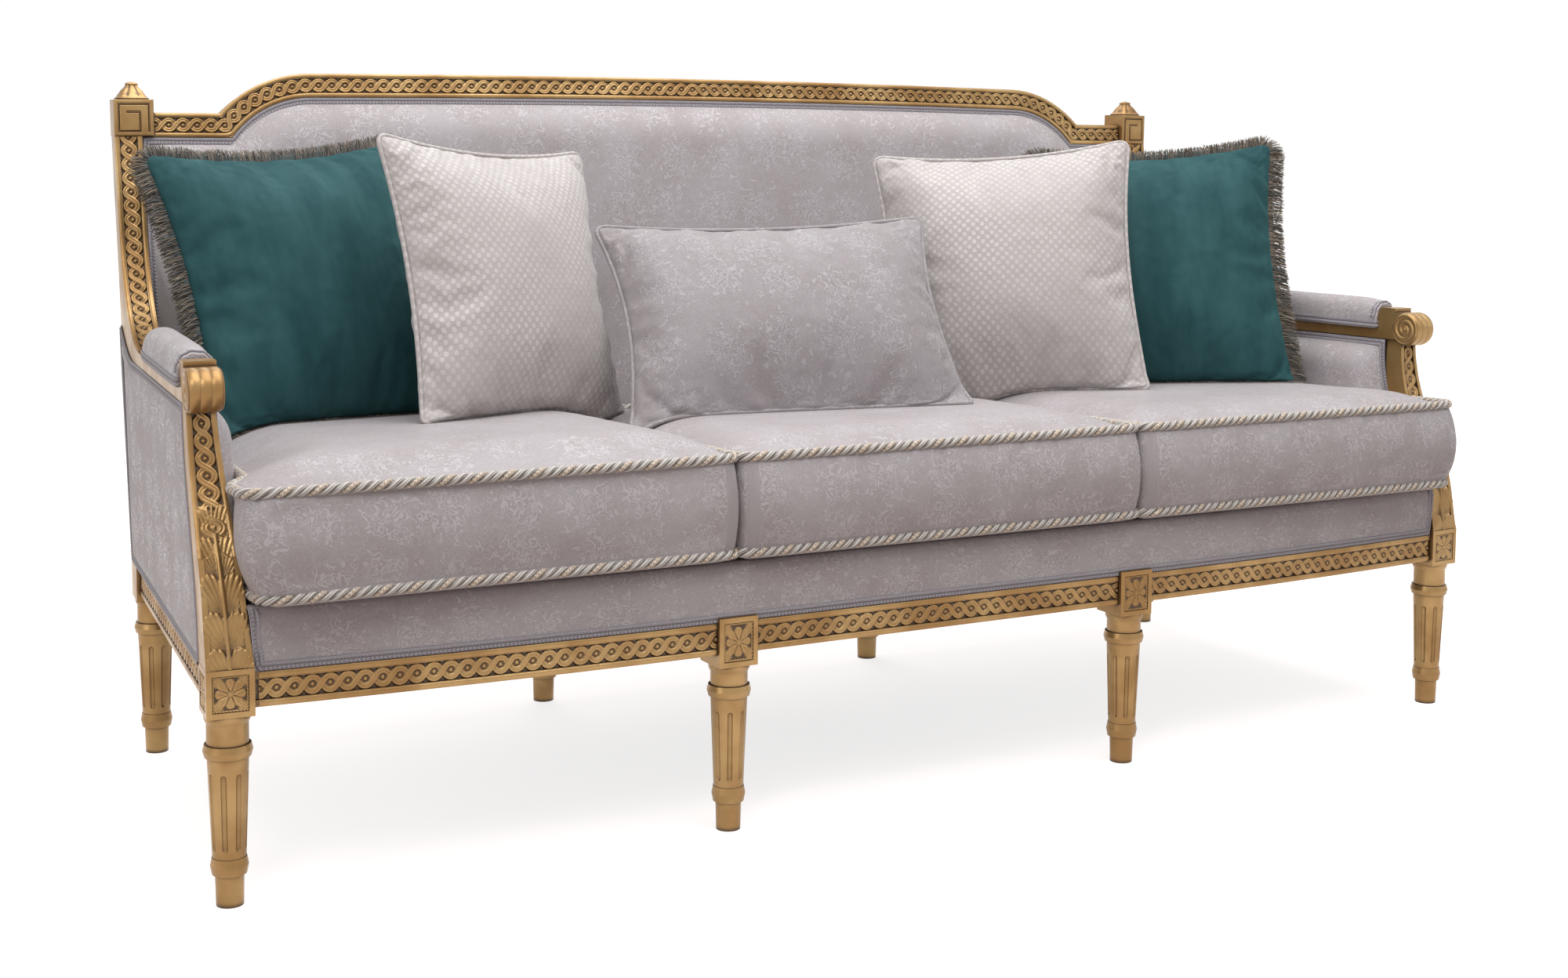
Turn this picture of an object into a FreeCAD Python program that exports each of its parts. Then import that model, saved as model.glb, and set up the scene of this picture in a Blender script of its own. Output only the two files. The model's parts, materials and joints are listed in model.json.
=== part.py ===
import FreeCAD, Part
import math
import os

# Carved and gilded three seat sofa with loose cushions and scatter pillows.
# Frame: X to the right seen from the front, Y to the back, Z up, floor at zero.
# While it is modelled, Y zero is the line of the rear legs; export moves the
# whole sofa so that the origin is the middle of its footprint.

Vector = FreeCAD.Vector

# Driving dimensions in millimetres: plan of the legs
front_corner_x = 997.5
front_mid_x = 333.5
rear_corner_x = 942.0
rear_mid_x = 313.5
side_depth = 682.5
bow = 31.0

# Turned legs with their square blocks
block_width = 57.5
block_top = 296.0
block_bottom = 237.5
mid_block_bottom = 229.0
cap_radius = 28.0
cap_height = 11.0
neck_radius = 25.3
collar_radius = 30.0
collar_top = 200.5
collar_bottom = 185.0
shaft_top_radius = 25.0
shaft_foot_radius = 20.3
ring_top = 60.5
ring_bottom = 39.5
ring_radius = 23.0
foot_top_radius = 17.5
foot_radius = 16.5
flute_count = 8
flute_radius = 3.9
flute_sink = 2.4
flute_top = 162.5
flute_bottom = 74.0
panel_border = 7.0
panel_depth = 2.0

# Seat rails
rail_height = 42.5
rail_top = 289.0
rail_thickness = 38.0
rail_setback = 6.0
rail_fillet = 8.3
carving_depth = 3.5
rear_rail_thickness = 32.0
cross_rail_width = 30.0

# Side frames: arm, arm post and back post, leaning out by a small angle
side_tilt = 0.84
stick_width = 40.0
stick_outer = 28.5
stick_fillet = 7.0
arm_rail_top = 622.0
arm_rail_height = 18.5
arm_sweep_radius = 200.0
arm_scroll_reach = 62.0
arm_scroll_height = 622.7
arm_scroll_radius = 26.3
arm_step_top = 656.0
arm_step_front = 84.0
arm_step_rear = 122.0
post_foot_width = 57.0
post_head_width = 35.0
post_head_top = 603.5

# Raked back
rake = 9.0
back_front_y = 66.0
back_pivot_height = 930.0
stile_depth = 42.0
stile_knee_height = 430.0
key_block_width = 57.9
key_block_depth = 50.0
key_block_bottom = 930.0
key_block_height = 55.0
key_block_x = 944.3
finial_width = 50.0
finial_height = 27.0

# Crest rail
crest_end_top = 966.5
crest_rise = 71.0
crest_corner_x = 816.0
crest_shoulder_radius = 200.0
crest_top_radius = 39000.0
crest_height = 37.0
crest_thickness = 34.0
crest_setback = 3.5
crest_fillet = 6.8

# Upholstery of the frame
back_pad_bulge = 26.0
back_pad_inset = 3.0
back_pad_thickness = 15.0
back_pad_foot = 372.0
inner_frame_depth = 25.0
upright_width = 40.0
bottom_rail_height = 45.0
bottom_rail_foot = 385.0
panel_thickness = 7.0
side_pad_thickness = 27.0
side_pad_top = 602.0
arm_pad_front = 118.0
arm_pad_rear = 490.0
arm_pad_width = 50.0
arm_pad_height = 47.0
cover_thickness = 1.5
gimp_width = 9.8
gimp_thickness = 1.8
strap_width = 50.0
strap_thickness = 2.5
strap_count = 15
cross_strap_count = 5
back_strap_count = 4
strap_inset = 14.0

# Seat deck and its loose cushions
deck_front_top = 368.5
deck_edge_radius = 16.0
deck_setback = 8.0
deck_front_band = 18.0
seat_slope = 2.0
cushion_split_x = 334.0
cushion_gap = 1.2
cushion_front_y = -748.0
cushion_front_bulge = 15.0
cushion_rear_gap = 3.0
cushion_bottom = 373.5
cushion_rope_height = 138.0
cushion_crown = 30.0
crown_rear_reach = 3.2
cushion_corner_radius = 26.0
ear_top_x = 974.0
ear_bottom_x = 968.0
ear_rear_y = -690.0
ear_neck_y = -592.0
seat_side_gap = 2.5
rest_gap = 0.3

# Scatter pillows: width, height and thickness of the filled covers
velvet_pillow = (414.0, 426.0, 150.0)
check_pillow = (434.0, 406.0, 160.0)
lumbar_pillow = (546.0, 350.0, 140.0)
pillow_side_draw = 20.0
seating_drop = 40.0
seating_steps = 30

# Joinery
dowel_radius = 4.0
dowel_length = 36.0
dowel_spacing = 18.0
glue_block_leg = 62.0
glue_block_height = 32.0
screw_radius = 2.4
screw_head_radius = 4.4
screw_head_height = 2.6
screw_length = 42.0
screw_place_share = 0.58

# Values worked out from the sizes above
side_angle = math.degrees(math.atan((front_corner_x - rear_corner_x) / side_depth))
side_length = math.hypot(front_corner_x - rear_corner_x, side_depth)
half_block = block_width / 2
mid_leg_y = -side_depth - bow
stick_inner = stick_outer - stick_width
rake_slope = math.tan(math.radians(rake))
rail_bottom = rail_top - rail_height
bow_radius = (front_corner_x - front_mid_x) ** 2 / (2 * bow) + bow / 2
long_cut = 4 * front_corner_x


def polygon_wire(points):
    """Closed wire through the points."""
    return Part.makePolygon(list(points) + [points[0]])


def prism(points, direction):
    """Solid made by moving the flat outline through the points."""
    return Part.Face(polygon_wire(points)).extrude(direction)


def box(low, high):
    """Box between two corners, given as three lengths each."""
    size = [b - a for a, b in zip(low, high)]
    return Part.makeBox(size[0], size[1], size[2], Vector(*low))


def moved(shape, x=0.0, y=0.0, z=0.0):
    """Copy of the shape, moved."""
    copy = shape.copy()
    copy.translate(Vector(x, y, z))
    return copy


def turned(shape, angle, axis=(0, 0, 1), centre=(0, 0, 0)):
    """Copy of the shape, turned about an axis through the centre."""
    copy = shape.copy()
    copy.rotate(Vector(*centre), Vector(*axis), angle)
    return copy


def mirrored(shape):
    """The same piece for the other end of the sofa."""
    return shape.mirror(Vector(0, 0, 0), Vector(1, 0, 0))


def side_place(shape, tilt=True):
    """Moves a piece from the side frame's own axes to the right end.

    There X points outwards, Y runs back from the front leg and Z is up.
    """
    if tilt:
        shape = turned(shape, side_tilt, (0, 1, 0), (0, 0, block_top))
    return moved(turned(shape, side_angle), front_corner_x, -side_depth)


def back_place(shape):
    """Leans a piece back about the height where the crest rail begins."""
    leaned = turned(shape, -rake, (1, 0, 0), (0, 0, back_pivot_height))
    return moved(leaned, 0, back_front_y)


def biggest(shape):
    """The largest solid of a shape, without slivers left by a cut."""
    return max(shape.Solids, key=lambda solid: solid.Volume)


def round_ended_rod(start, end, radius):
    """Rod with a half ball at each end."""
    run = end - start
    tall = run.Length
    slant = radius * math.sqrt(0.5)
    edges = [
        Part.Arc(Vector(0, 0, -radius), Vector(slant, 0, -slant), Vector(radius, 0, 0)).toShape(),
        Part.makeLine(Vector(radius, 0, 0), Vector(radius, 0, tall)),
        Part.Arc(Vector(radius, 0, tall), Vector(slant, 0, tall + slant),
                 Vector(0, 0, tall + radius)).toShape(),
        Part.makeLine(Vector(0, 0, tall + radius), Vector(0, 0, -radius)),
    ]
    rod = Part.Face(Part.Wire(edges)).revolve(Vector(0, 0, 0), Vector(0, 0, 1), 360)
    rod.Placement = FreeCAD.Placement(start, FreeCAD.Rotation(Vector(0, 0, 1), run))
    return rod


def leg(bottom, faces):
    """Block, turned shaft and flutes of one leg, standing at the origin."""
    profile = [
        (0, 0), (foot_radius, 0), (foot_top_radius, ring_bottom),
        (ring_radius - panel_depth, ring_bottom), (ring_radius, (ring_top + ring_bottom) / 2),
        (ring_radius - panel_depth, ring_top), (shaft_foot_radius, ring_top),
        (shaft_top_radius, collar_bottom), (collar_radius - panel_depth, collar_bottom),
        (collar_radius, (collar_top + collar_bottom) / 2),
        (collar_radius - panel_depth, collar_top), (neck_radius, collar_top),
        (neck_radius, bottom - cap_height), (cap_radius, bottom - cap_height / 2),
        (cap_radius, bottom), (0, bottom),
    ]
    wire = polygon_wire([Vector(r, 0, z) for r, z in profile])
    turning = Part.Face(wire).revolve(Vector(0, 0, 0), Vector(0, 0, 1), 360)
    block = box((-half_block, -half_block, bottom), (half_block, half_block, block_top))
    solid = block.fuse(turning).removeSplitter()
    flutes = []
    for number in range(flute_count):
        angle = math.radians(360 * (number + 1 / 2) / flute_count)
        ends = []
        for height in (flute_bottom, flute_top):
            share = (height - ring_top) / (collar_bottom - ring_top)
            reach = shaft_foot_radius + share * (shaft_top_radius - shaft_foot_radius)
            reach += flute_radius - flute_sink
            ends.append(Vector(reach * math.cos(angle), reach * math.sin(angle), height))
        flutes.append(round_ended_rod(ends[0], ends[1], flute_radius))
    solid = solid.cut(Part.makeCompound(flutes))
    inner = half_block - panel_border
    for turn in faces:
        panel = box((-inner, -half_block, bottom + panel_border),
                    (inner, panel_depth - half_block, block_top - panel_border))
        solid = solid.cut(turned(panel, turn))
    return biggest(solid)


def make_legs():
    """All eight legs, each in its place."""
    corner = leg(block_bottom, (0, 90))
    middle = leg(mid_block_bottom, (0,))
    plain = leg(block_bottom, ())
    right = {
        "leg_front_right": moved(turned(corner, side_angle), front_corner_x, -side_depth),
        "leg_front_mid_right": moved(middle, front_mid_x, mid_leg_y),
        "leg_rear_right": moved(turned(plain, side_angle), rear_corner_x),
        "leg_rear_mid_right": moved(plain, rear_mid_x),
    }
    legs = dict(right)
    for name, shape in right.items():
        legs[name.replace("right", "left")] = mirrored(shape)
    return legs


def bowed_band(outer, inner, low, high):
    """Part of a ring that follows the bow of a front rail at the right."""
    centre = Vector(front_mid_x, mid_leg_y + bow_radius, low)
    last = math.asin((front_corner_x - front_mid_x) / bow_radius)

    def at(radius, angle):
        return centre + Vector(radius * math.sin(angle), -radius * math.cos(angle), 0)

    edges = [
        Part.Arc(at(outer, 0), at(outer, last / 2), at(outer, last)).toShape(),
        Part.makeLine(at(outer, last), at(inner, last)),
        Part.Arc(at(inner, last), at(inner, last / 2), at(inner, 0)).toShape(),
        Part.makeLine(at(inner, 0), at(outer, 0)),
    ]
    return Part.Face(Part.Wire(edges)).extrude(Vector(0, 0, high - low))


def make_rails(legs):
    """Seat rails between the leg blocks, with the channel for the carving."""
    face_radius = bow_radius + half_block - rail_setback
    channel = (rail_bottom + rail_fillet, rail_top - rail_fillet)
    bowed = bowed_band(face_radius, face_radius - rail_thickness, rail_bottom, rail_top)
    groove = bowed_band(face_radius, face_radius - carving_depth, *channel)
    bowed = bowed.cut(groove)
    face_y = mid_leg_y - half_block + rail_setback
    centre = box((-front_mid_x, face_y, rail_bottom),
                 (front_mid_x, face_y + rail_thickness, rail_top))
    centre = centre.cut(box((-front_mid_x, face_y, channel[0]),
                            (front_mid_x, face_y + carving_depth, channel[1])))
    side_face = half_block - rail_setback
    side = box((side_face - rail_thickness, 0, rail_bottom), (side_face, side_length, rail_top))
    side = side.cut(box((side_face - carving_depth, 0, channel[0]),
                        (side_face, side_length, channel[1])))
    side = side_place(side, tilt=False)
    rear_face = half_block - rail_setback
    rear = {}
    for name, low, high in (("center", -rear_mid_x, rear_mid_x),
                            ("right", rear_mid_x, rear_corner_x)):
        rear[name] = box((low, rear_face - rear_rail_thickness, rail_bottom),
                         (high, rear_face, rail_top))
    half_cross = cross_rail_width / 2
    front_inner = face_y + rail_thickness
    cross = prism([
        Vector(front_mid_x - half_cross, front_inner, rail_bottom),
        Vector(front_mid_x + half_cross, front_inner, rail_bottom),
        Vector(rear_mid_x + half_cross, rear_face - rear_rail_thickness, rail_bottom),
        Vector(rear_mid_x - half_cross, rear_face - rear_rail_thickness, rail_bottom),
    ], Vector(0, 0, rail_height))
    blocks = Part.makeCompound(list(legs.values()))
    right = {
        "front_rail_right": bowed, "side_rail_right": side,
        "rear_rail_right": rear["right"], "seat_cross_rail_right": cross,
    }
    rails = {}
    for name, shape in right.items():
        rails[name] = biggest(shape.cut(blocks))
        rails[name.replace("right", "left")] = mirrored(rails[name])
    rails["front_rail_center"] = biggest(centre.cut(blocks))
    rails["rear_rail_center"] = biggest(rear["center"].cut(blocks))
    return rails


def stile_line(height, offset=0.0):
    """Distance back, in the side frame, of the back post's front edge."""
    lean = (height - back_pivot_height) * rake_slope
    return side_length + back_front_y + lean + offset


def sweep_profile(inset):
    """Side outline of the back post with its sweep into the arm rail.

    The inset moves the carved front edge into the wood.
    """
    radius = arm_sweep_radius + inset
    top = arm_rail_top - inset
    lean = math.radians(rake)
    corner = Vector(0, stile_line(arm_rail_top), arm_rail_top)
    run = arm_sweep_radius / math.tan(math.radians(90 + rake) / 2)
    centre = Vector(0, corner.y - run, arm_rail_top + arm_sweep_radius)
    low = Vector(0, centre.y, top)
    high = centre + Vector(0, radius * math.cos(lean), -radius * math.sin(lean))
    middle_angle = (math.radians(90) + lean) / 2
    middle = centre + Vector(0, radius * math.sin(middle_angle), -radius * math.cos(middle_angle))
    head = Vector(0, stile_line(key_block_bottom) + inset, key_block_bottom)
    rear_top = Vector(0, stile_line(key_block_bottom) + stile_depth, key_block_bottom)
    knee = Vector(0, stile_line(stile_knee_height) + stile_depth, stile_knee_height)
    heel = Vector(0, side_length + half_block, block_top - panel_depth)
    toe = Vector(0, side_length - half_block / 2, block_top - panel_depth)
    shin = Vector(0, stile_line(stile_knee_height), stile_knee_height)
    under = arm_rail_top - arm_rail_height
    armpit = Vector(0, stile_line(under) - stick_fillet, under)
    under_end = Vector(0, low.y, under)
    edges = [
        Part.Arc(low, middle, high).toShape(), Part.makeLine(high, head),
        Part.makeLine(head, rear_top), Part.makeLine(rear_top, knee),
        Part.makeLine(knee, heel), Part.makeLine(heel, toe), Part.makeLine(toe, shin),
        Part.makeLine(shin, armpit), Part.makeLine(armpit, under_end),
        Part.makeLine(under_end, low),
    ]
    return Part.Face(Part.Wire(edges))


def slab_across(face, low, high):
    """Thickens a side outline between two distances outwards."""
    return moved(face, low).extrude(Vector(high - low, 0, 0))


def key_block():
    """Square block with the key groove, at the head of a back post."""
    half = key_block_width / 2
    front = stile_line(key_block_bottom)
    rear = front + key_block_depth
    outer = stick_outer
    block = box((outer - key_block_width, front, key_block_bottom),
                (outer, rear, key_block_bottom + key_block_height))
    groove_width = panel_depth
    line = panel_border
    middle = key_block_bottom + key_block_height / 2
    reach = half - line
    tall = key_block_height / 2 - line
    centre_x = outer - half
    inner_share = 0.42
    strokes = [
        (-reach, -tall, -reach + groove_width, tall),
        (-reach, tall - groove_width, reach, tall),
        (reach - groove_width, -tall, reach, tall),
        (-reach * inner_share, -tall, reach, -tall + groove_width),
        (-reach * inner_share, -tall, -reach * inner_share + groove_width, tall * inner_share),
        (-reach * inner_share, tall * inner_share - groove_width,
         reach * inner_share, tall * inner_share),
    ]
    for x0, z0, x1, z1 in strokes:
        block = block.cut(box((centre_x + x0, front, middle + z0),
                              (centre_x + x1, front + panel_depth, middle + z1)))
    return biggest(block)


def finial():
    """Low leaf pyramid that stands on a key block."""
    base = key_block_bottom + key_block_height
    centre_x = stick_outer - key_block_width / 2
    centre_y = stile_line(key_block_bottom) + key_block_depth / 2
    shares = ((0.0, 1.0), (0.12, 1.0), (0.3, 0.86), (0.6, 0.56), (0.85, 0.34), (0.92, 0.26),
              (1.0, 0.1))
    wires = []
    for rise, width in shares:
        half_x = finial_width / 2 * width
        half_y = half_x * key_block_depth / key_block_width
        height = base + finial_height * rise
        wires.append(polygon_wire([
            Vector(centre_x - half_x, centre_y - half_y, height),
            Vector(centre_x + half_x, centre_y - half_y, height),
            Vector(centre_x + half_x, centre_y + half_y, height),
            Vector(centre_x - half_x, centre_y + half_y, height),
        ]))
    return Part.makeLoft(wires, True, True)


def spline_through(points):
    """Smooth open edge through the points."""
    curve = Part.BSplineCurve()
    curve.interpolate(points)
    return curve.toShape()


# Side outline of an arm post: heights as shares of its height above the leg
# block, and distances back as shares of the width of that block
post_front_shares = ((0.0, -0.49), (0.12, -0.36), (0.3, -0.14), (0.53, 0.47), (0.75, 1.0),
                     (0.9, 1.2), (1.0, 1.25))
post_rear_shares = ((1.0, 1.77), (0.9, 1.76), (0.75, 1.62), (0.56, 1.24), (0.34, 0.78),
                    (0.14, 0.54), (0.0, 0.5))


def post_points(shares, inset=0.0):
    """Points of one edge of the arm post in the side frame."""
    foot = block_top - panel_depth
    rise = post_head_top - foot
    return [Vector(0, block_width * back + inset, foot + rise * up) for up, back in shares]


def post_outline(inset=0.0):
    """Side outline of the arm post; the inset sinks its carved front."""
    front = post_points(post_front_shares, inset)
    rear = post_points(post_rear_shares)
    return Part.Face(Part.Wire([
        spline_through(front), Part.makeLine(front[-1], rear[0]),
        spline_through(rear), Part.makeLine(rear[-1], front[0]),
    ]))


def post_taper(low_gap, high_gap):
    """Wedge across the arm post, narrower at the head, inside the given borders."""
    foot = block_top - 2 * panel_depth
    head = post_head_top + panel_depth
    inner_foot = stick_outer - post_foot_width
    inner_head = stick_outer - post_head_width
    reach = 2 * block_width
    return prism([
        Vector(stick_outer - low_gap, -reach, foot), Vector(inner_foot + high_gap, -reach, foot),
        Vector(inner_head + high_gap, -reach, head), Vector(stick_outer - low_gap, -reach, head),
    ], Vector(0, 2 * reach, 0))


def arm_post():
    """Curved post between the front leg and the arm scroll."""
    whole = slab_across(post_outline(), stick_outer - post_foot_width, stick_outer)
    sunk = slab_across(post_outline(carving_depth), stick_outer - post_foot_width, stick_outer)
    body = whole.common(post_taper(0.0, 0.0))
    channel = whole.cut(sunk).common(post_taper(stick_fillet, stick_fillet))
    return biggest(body.cut(channel))


def arm_rail():
    """Arm rail with its stepped block and rolled scroll at the front."""
    run = arm_sweep_radius / math.tan(math.radians(90 + rake) / 2)
    rear = stile_line(arm_rail_top) - run
    under = arm_rail_top - arm_rail_height
    ramp = arm_step_rear + (arm_step_top - arm_rail_top) / 2
    outline = [
        (arm_scroll_reach, under), (rear, under), (rear, arm_rail_top), (ramp, arm_rail_top),
        (arm_step_rear, (arm_rail_top + arm_step_top) / 2), (arm_step_rear - stick_fillet, arm_step_top),
        (arm_step_front, arm_step_top), (arm_step_front, arm_scroll_height + arm_scroll_radius),
        (arm_scroll_reach, arm_scroll_height + arm_scroll_radius),
    ]
    rail = prism([Vector(stick_inner, s, z) for s, z in outline], Vector(stick_width, 0, 0))
    roll = Part.makeCylinder(arm_scroll_radius, stick_width,
                             Vector(stick_inner, arm_scroll_reach, arm_scroll_height),
                             Vector(1, 0, 0))
    rail = rail.fuse(roll).removeSplitter()
    groove_share = 0.55
    for side in (stick_inner, stick_outer - panel_depth):
        ring = Part.makeCylinder(arm_scroll_radius * groove_share, panel_depth,
                                 Vector(side, arm_scroll_reach, arm_scroll_height), Vector(1, 0, 0))
        eye = Part.makeCylinder(arm_scroll_radius * groove_share - panel_depth, panel_depth,
                                Vector(side, arm_scroll_reach, arm_scroll_height), Vector(1, 0, 0))
        rail = rail.cut(ring.cut(eye))
    return biggest(rail)


def inset_polygon(points, inset):
    """Flat outline of (a, b) points moved inwards; they run anticlockwise."""
    count = len(points)
    lines = []
    for index in range(count):
        a0, b0 = points[index]
        a1, b1 = points[(index + 1) % count]
        length = math.hypot(a1 - a0, b1 - b0)
        normal = (-(b1 - b0) / length, (a1 - a0) / length)
        lines.append((normal, normal[0] * a0 + normal[1] * b0 + inset))
    result = []
    for index in range(count):
        (n0, c0), (n1, c1) = lines[index - 1], lines[index]
        cross = n0[0] * n1[1] - n0[1] * n1[0]
        result.append(((c0 * n1[1] - c1 * n0[1]) / cross, (n0[0] * c1 - n1[0] * c0) / cross))
    return result


# A pad's crown: how far in from its edge, and how high, as shares
pad_crown_shares = ((0.0, 0.0), (0.12, 0.55), (0.4, 0.86), (1.0, 1.0))


def side_outline(grow=0.0):
    """Outline of the upholstered field inside a side frame, as (back, height)."""
    foot = rail_top - grow
    rear = side_length + half_block - panel_depth + grow
    top_rear = stile_line(arm_rail_top) + stile_depth - panel_depth + grow
    under = arm_rail_top - arm_rail_height + grow
    head = [(p.y, p.z) for p in post_points(post_rear_shares)]
    front = [(s - grow, z) for s, z in head if rail_top < z < under]
    return [(head[-1][0] - grow, foot), (rear, foot), (top_rear, under)] + \
        [(head[0][0] - grow, under)] + front[1:]


def side_panel_outer():
    """Fabric covered panel on the outside of a side frame."""
    points = [Vector(stick_outer - panel_thickness, s, z) for s, z in side_outline()]
    return prism(points, Vector(panel_thickness - panel_depth / 2, 0, 0))


def side_pad_inner():
    """Padded inside face of a side frame, with a crown towards the seat."""
    head = post_points(post_rear_shares)
    front_foot = head[-2].y
    front_head = head[0].y
    rear_head = stile_line(side_pad_top)
    foot = rail_top + 2 * strap_thickness
    outline = [(front_foot, foot), (rear_head, foot), (rear_head, side_pad_top),
               (front_head, side_pad_top)]
    reach = side_pad_thickness * 2
    wires = []
    for inward, rise in pad_crown_shares:
        t = stick_inner - side_pad_thickness * rise
        wires.append(polygon_wire([Vector(t, s, z)
                                   for s, z in inset_polygon(outline, inward * reach)]))
    return Part.makeLoft(wires, True, True)


def arm_pad():
    """Padded roll on top of an arm rail."""
    # Distance along the pad, width and height, each as a share of its full size
    shares = ((0.0, 0.9, 0.72), (0.025, 0.96, 0.88), (0.09, 1.0, 1.0), (0.66, 1.0, 1.0),
              (0.8, 1.0, 0.96), (0.91, 0.95, 0.85), (0.97, 0.84, 0.7), (1.0, 0.68, 0.5))
    waist_share = (0.46, 0.66)
    centre = (stick_outer + stick_inner) / 2
    wires = []
    for along, wide, high in shares:
        s = arm_pad_front + along * (arm_pad_rear - arm_pad_front)
        half = arm_pad_width / 2 * wide
        top = arm_pad_height * high
        base = arm_rail_top

        def at(x, z):
            return Vector(centre + x, s, base + z)

        bulge = (2 * half * waist_share[0], top * waist_share[1])
        wires.append(Part.Wire([
            Part.makeLine(at(-half * wide, 0), at(half * wide, 0)),
            Part.Arc(at(half * wide, 0), at(bulge[0], bulge[1]), at(0, top)).toShape(),
            Part.Arc(at(0, top), at(-bulge[0], bulge[1]), at(-half * wide, 0)).toShape(),
        ]))
    return Part.makeLoft(wires, True, True)


def crest_centre():
    """Centre of the right shoulder arc, which meets the long top arc smoothly."""
    top = crest_end_top + crest_rise
    far = Vector(0, 0, top - crest_top_radius)
    corner = Vector(crest_corner_x, 0, crest_end_top)
    reach = crest_top_radius - crest_shoulder_radius
    span = (corner - far).Length
    cosine = (span ** 2 + reach ** 2 - crest_shoulder_radius ** 2) / (2 * span * reach)
    angle = math.atan2(corner.x - far.x, corner.z - far.z) - math.acos(min(1.0, cosine))
    return far, far + Vector(reach * math.sin(angle), 0, reach * math.cos(angle)), angle


def crest_edges(inset, end_x, level=None):
    """Edges of the crest's line, from the right end to the left, set down by the inset."""
    far, centre, angle = crest_centre()
    radius = crest_shoulder_radius - inset
    end_z = crest_end_top - inset if level is None else level
    corner_angle = math.acos((end_z - centre.z) / radius)

    def shoulder(a):
        return centre + Vector(radius * math.sin(a), 0, radius * math.cos(a))

    corner = shoulder(corner_angle)
    middle = shoulder((corner_angle + angle) / 2)
    head = shoulder(angle)
    top = far + Vector(0, 0, crest_top_radius - inset)

    def other(p):
        return Vector(-p.x, p.y, p.z)

    end = Vector(end_x, 0, end_z)
    return [
        Part.makeLine(end, corner), Part.Arc(corner, middle, head).toShape(),
        Part.Arc(head, top, other(head)).toShape(),
        Part.Arc(other(head), other(middle), other(corner)).toShape(),
        Part.makeLine(other(corner), other(end)),
    ], end


def crest_band(top_inset, bottom_inset, end_x, thickness):
    """Solid between two lines that follow the crest."""
    upper, upper_end = crest_edges(top_inset, end_x)
    lower, lower_end = crest_edges(bottom_inset, end_x)
    left_top = Vector(-upper_end.x, 0, upper_end.z)
    left_low = Vector(-lower_end.x, 0, lower_end.z)
    edges = upper + [Part.makeLine(left_top, left_low)] + lower[::-1]
    edges.append(Part.makeLine(lower_end, upper_end))
    return Part.Face(Part.Wire(Part.__sortEdges__(edges))).extrude(Vector(0, thickness, 0))


def crest_rail():
    """Shaped top rail of the back with the channel for its carving."""
    body = crest_band(0.0, crest_height, key_block_x, crest_thickness)
    channel = crest_band(crest_fillet, crest_height - crest_fillet, key_block_x, carving_depth)
    return moved(body.cut(channel), 0, crest_setback)


def back_outline(inset, foot, half_width, y):
    """Closed outline of the upholstered back, set in by the inset."""
    edges, end = crest_edges(crest_height + inset, half_width - inset)
    low = foot + inset
    corner = Vector(end.x, 0, low)
    other = Vector(-end.x, 0, low)
    edges = edges + [Part.makeLine(Vector(-end.x, 0, end.z), other),
                     Part.makeLine(other, corner), Part.makeLine(corner, end)]
    wire = Part.Wire(Part.__sortEdges__(edges))
    wire.translate(Vector(0, y, 0))
    return wire


def raked(height):
    """Height measured along the rake that stands at this height above the floor."""
    return back_pivot_height + (height - back_pivot_height) / math.cos(math.radians(rake))


def stile_inner_x():
    """Half the clear width between the two back posts."""
    return key_block_x + key_block_width / 2 - stick_width


def back_pad():
    """Padded front of the back with its crown."""
    half = stile_inner_x()
    foot = raked(back_pad_foot)
    reach = back_pad_bulge * 3
    edge = crest_setback + back_pad_inset
    wires = [back_outline(0.0, foot, half, crest_setback + back_pad_thickness),
             back_outline(0.0, foot, half, edge)]
    for inward, rise in pad_crown_shares:
        y = edge - gimp_thickness / 9 - rise * (back_pad_bulge + back_pad_inset)
        wires.append(back_outline(gimp_width + inward * reach, foot, half, y))
    return Part.makeLoft(wires, True, True)


def back_gimp():
    """Narrow braid laid around the edge of the back pad, below the crest."""
    half = stile_inner_x()
    edge = crest_setback + back_pad_inset
    outer = Part.Face(back_outline(0.0, raked(back_pad_foot), half, edge))
    inner = Part.Face(back_outline(gimp_width, raked(back_pad_foot), half, edge))
    ring = outer.cut(inner).extrude(Vector(0, -gimp_thickness, 0))
    low = box((-long_cut, -long_cut, 0), (long_cut, long_cut, raked(arm_rail_top)))
    return ring.cut(low)


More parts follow.
